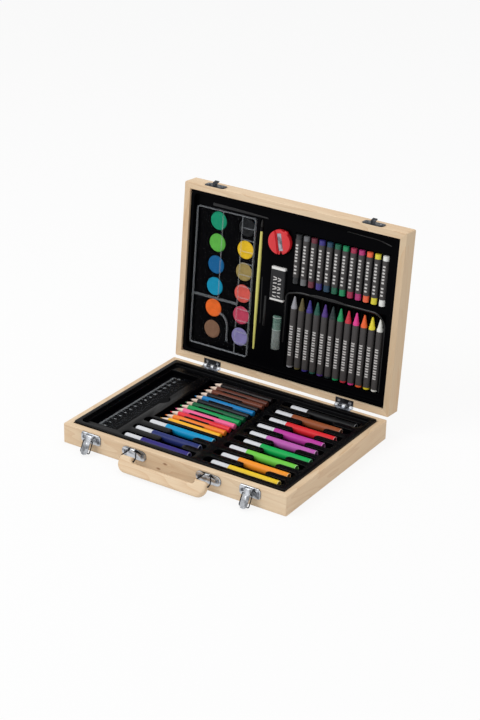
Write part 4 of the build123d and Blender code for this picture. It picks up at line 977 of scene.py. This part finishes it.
def make_sticks():
    """The wax crayons and the oil pastels in their paper wrappers, each with a plain printed row."""
    crayon = turned("crayon", [(3.2, -89.2), (3.6, -89.1), (3.75, -88.7), (3.75, -60.0), (3.75, -30.0),
                               (3.75, -12.2), (3.6, -11.9), (3.35, -11.7), (2.2, -6.0), (1.1, -0.7),
                               (0.8, -0.15), (0.4, 0.0)], 32)
    crayon_paper = turned("crayon_paper", [(3.78, -86.7), (3.98, -86.7), (4.0, -86.5), (4.0, -60.0),
                                           (4.0, -30.0), (4.0, -15.2), (3.98, -15.0), (3.78, -15.0)], 32)
    pastel = turned("pastel", [(3.4, 16.7), (3.7, 16.85), (3.75, 17.2), (3.75, 46.0), (3.75, 76.2),
                               (3.7, 76.55), (3.4, 76.7)], 32)
    pastel_paper = turned("pastel_paper", [(3.78, 24.7), (3.98, 24.7), (4.0, 24.9), (4.0, 46.0),
                                           (4.0, 71.0), (3.98, 71.2), (3.78, 71.2)], 32)
    crayon_rows = [-73.0 + 6.6 * (i // 2) + 2.9 * (i % 2) for i in range(12)]
    crayon_mark = wrapped_marks("crayon_mark", crayon_rows, 4.4, 1.7, 0.0)
    pastel_rows = [30.0 + 4.2 * i for i in range(3)] + [45.0 + 3.9 * i for i in range(6)]
    pastel_mark = wrapped_marks("pastel_mark", pastel_rows, 3.4, 2.3, 0.2)
    kinds = (("wax_crayon", "crayon", 10.5, CRAYON_COLOURS, crayon, crayon_paper, crayon_mark),
             ("oil_pastel", "pastel", 12.0, PASTEL_COLOURS, pastel, pastel_paper, pastel_mark))
    for stick, kind, level, colours, model, wrapper, mark in kinds:
        for i, (x, colour) in enumerate(zip(STICKS_X, colours)):
            flat = LID @ shift(x, 0, level)
            place = flat @ TO_Y @ turn(23 * i, "Z")
            show(smooth(copied(model, f"{stick}_{i:02d}", place)), kind + "s", "wax", stick + "s",
                 waxy(f"{stick}_{i:02d}", colour, 0.42))
            show(smooth(copied(wrapper, f"{kind}_wrapper_{i:02d}", place)), kind + "s", "wrapper_paper",
                 kind + "_wrappers", paper)
            show(copied(mark, f"{kind}_wrapper_print_{i:02d}", flat), kind + "s", "wrapper_paper", None,
                 pale_print)
        drop(model, wrapper, mark)


LID_RIDGES = ([(-113.5, 86.6), (-35.0, 86.2), (-36.2, 88.0), (-80.0, 89.6), (-113.5, 90.4)],
              [(-33.4, -46.0), (-30.0, -46.0), (-30.6, -8.0), (-33.2, -8.0)],
              [(18.0, 5.9), (50.0, 5.2), (92.0, 6.2), (62.0, 9.4), (36.0, 9.2)])
LID_BEADS = (([(-4.0, -60.0), (-4.0, 2.0), (14.0, 6.6), (119.0, 6.6), (129.2, -4.0), (129.2, -88.0)], 1.3),
             ([(70.0, 94.4), (112.0, 93.4), (128.0, 89.5)], 0.8),
             ([(-38.6, 14.0), (-37.2, -44.0)], 0.7))


def make_lid_contents():
    """The lid's tray, with ridges moulded into its sheet that are painted a lighter, glossier black as a
    highlight, and all that it holds.
    """
    tray = placed(traced("lid_tray"), LID.inverted())
    softened(tray, 0.5, LID_TRAY_LEVELS)
    ridges = [rounded(plate("ridge", outline, 12.6, 13.9), 0.6, 3) for outline in LID_RIDGES]
    ridges += [wire("bead", [(x, y, 12.7) for x, y in line], radius, 6.0) for line, radius in LID_BEADS]
    # The ridges and beads are in the lighter, glossier black: painted highlight.
    for part in (tray, *ridges):
        part.data.materials.clear()
        part.data.materials.append(black_deep if part == tray else black_ridge)
    joined("lid_tray_piece", [tray, *ridges])
    show(smooth(placed(tray, LID)), "lid", "black_tray", "lid_tray")
    make_palette()
    make_brush()
    make_sharpener()
    make_eraser()
    make_glue_stick()
    make_sticks()


# --- The stage ------------------------------------------------------------------------------------

FLOOR_SIZE = 14.0
FLOOR_WHITE = 0.86
SOFT_LIGHT = 0.62


# Pale matt floor, seen as nearly white by the camera and in reflections, with the case's shadow.
def floor_material():
    floor = new_material("floor")
    shade = add(floor, "BsdfDiffuse", {"Color": "#EDEDED"})
    white = add(floor, "Emission", {"Color": "#FFFFFF", "Strength": 1.0})
    rays = add(floor, "LightPath").outputs
    seen = add(floor, "Math", {0: rays["Is Camera Ray"], 1: rays["Is Glossy Ray"]}, operation="MAXIMUM")
    seen = add(floor, "Math", {0: seen.outputs[0], 1: rays["Is Transmission Ray"]}, operation="MAXIMUM")
    share = add(floor, "Math", {0: seen.outputs[0], 1: FLOOR_WHITE}, operation="MULTIPLY")
    mix = add(floor, "MixShader", {0: share.outputs[0], 1: shade.outputs[0], 2: white.outputs[0]})
    add(floor, "OutputMaterial", {"Surface": mix.outputs[0]})
    return floor


def make_stage():
    """The floor, and a world that lights softly and looks white."""
    bpy.ops.object.select_all(action="DESELECT")
    bpy.ops.mesh.primitive_plane_add(size=FLOOR_SIZE, location=(0, 0, -0.2 * MM))
    floor = bpy.context.object
    floor.name = "floor"
    floor.data.materials.append(floor_material())
    world = bpy.data.worlds.new("world")
    bpy.context.scene.world = world
    world.use_nodes = True
    world.node_tree.nodes.clear()
    rays = add(world, "LightPath").outputs
    level = add(world, "MapRange", {"Value": rays["Is Camera Ray"], "To Min": SOFT_LIGHT, "To Max": 1.0})
    sky = add(world, "Background", {"Color": "#FFFFFF", "Strength": level.outputs[0]})
    add(world, "OutputWorld", {"Surface": sky.outputs[0]})


# The pins and the hinges' screws keep this steel, and all other nodes get a look or a piece of their own.
for name in nodes:
    dress(name, steel)
make_case_looks()
make_fittings()
make_base_contents()
make_lid_contents()
make_stage()
bpy.context.scene.view_settings.view_transform = "Standard"
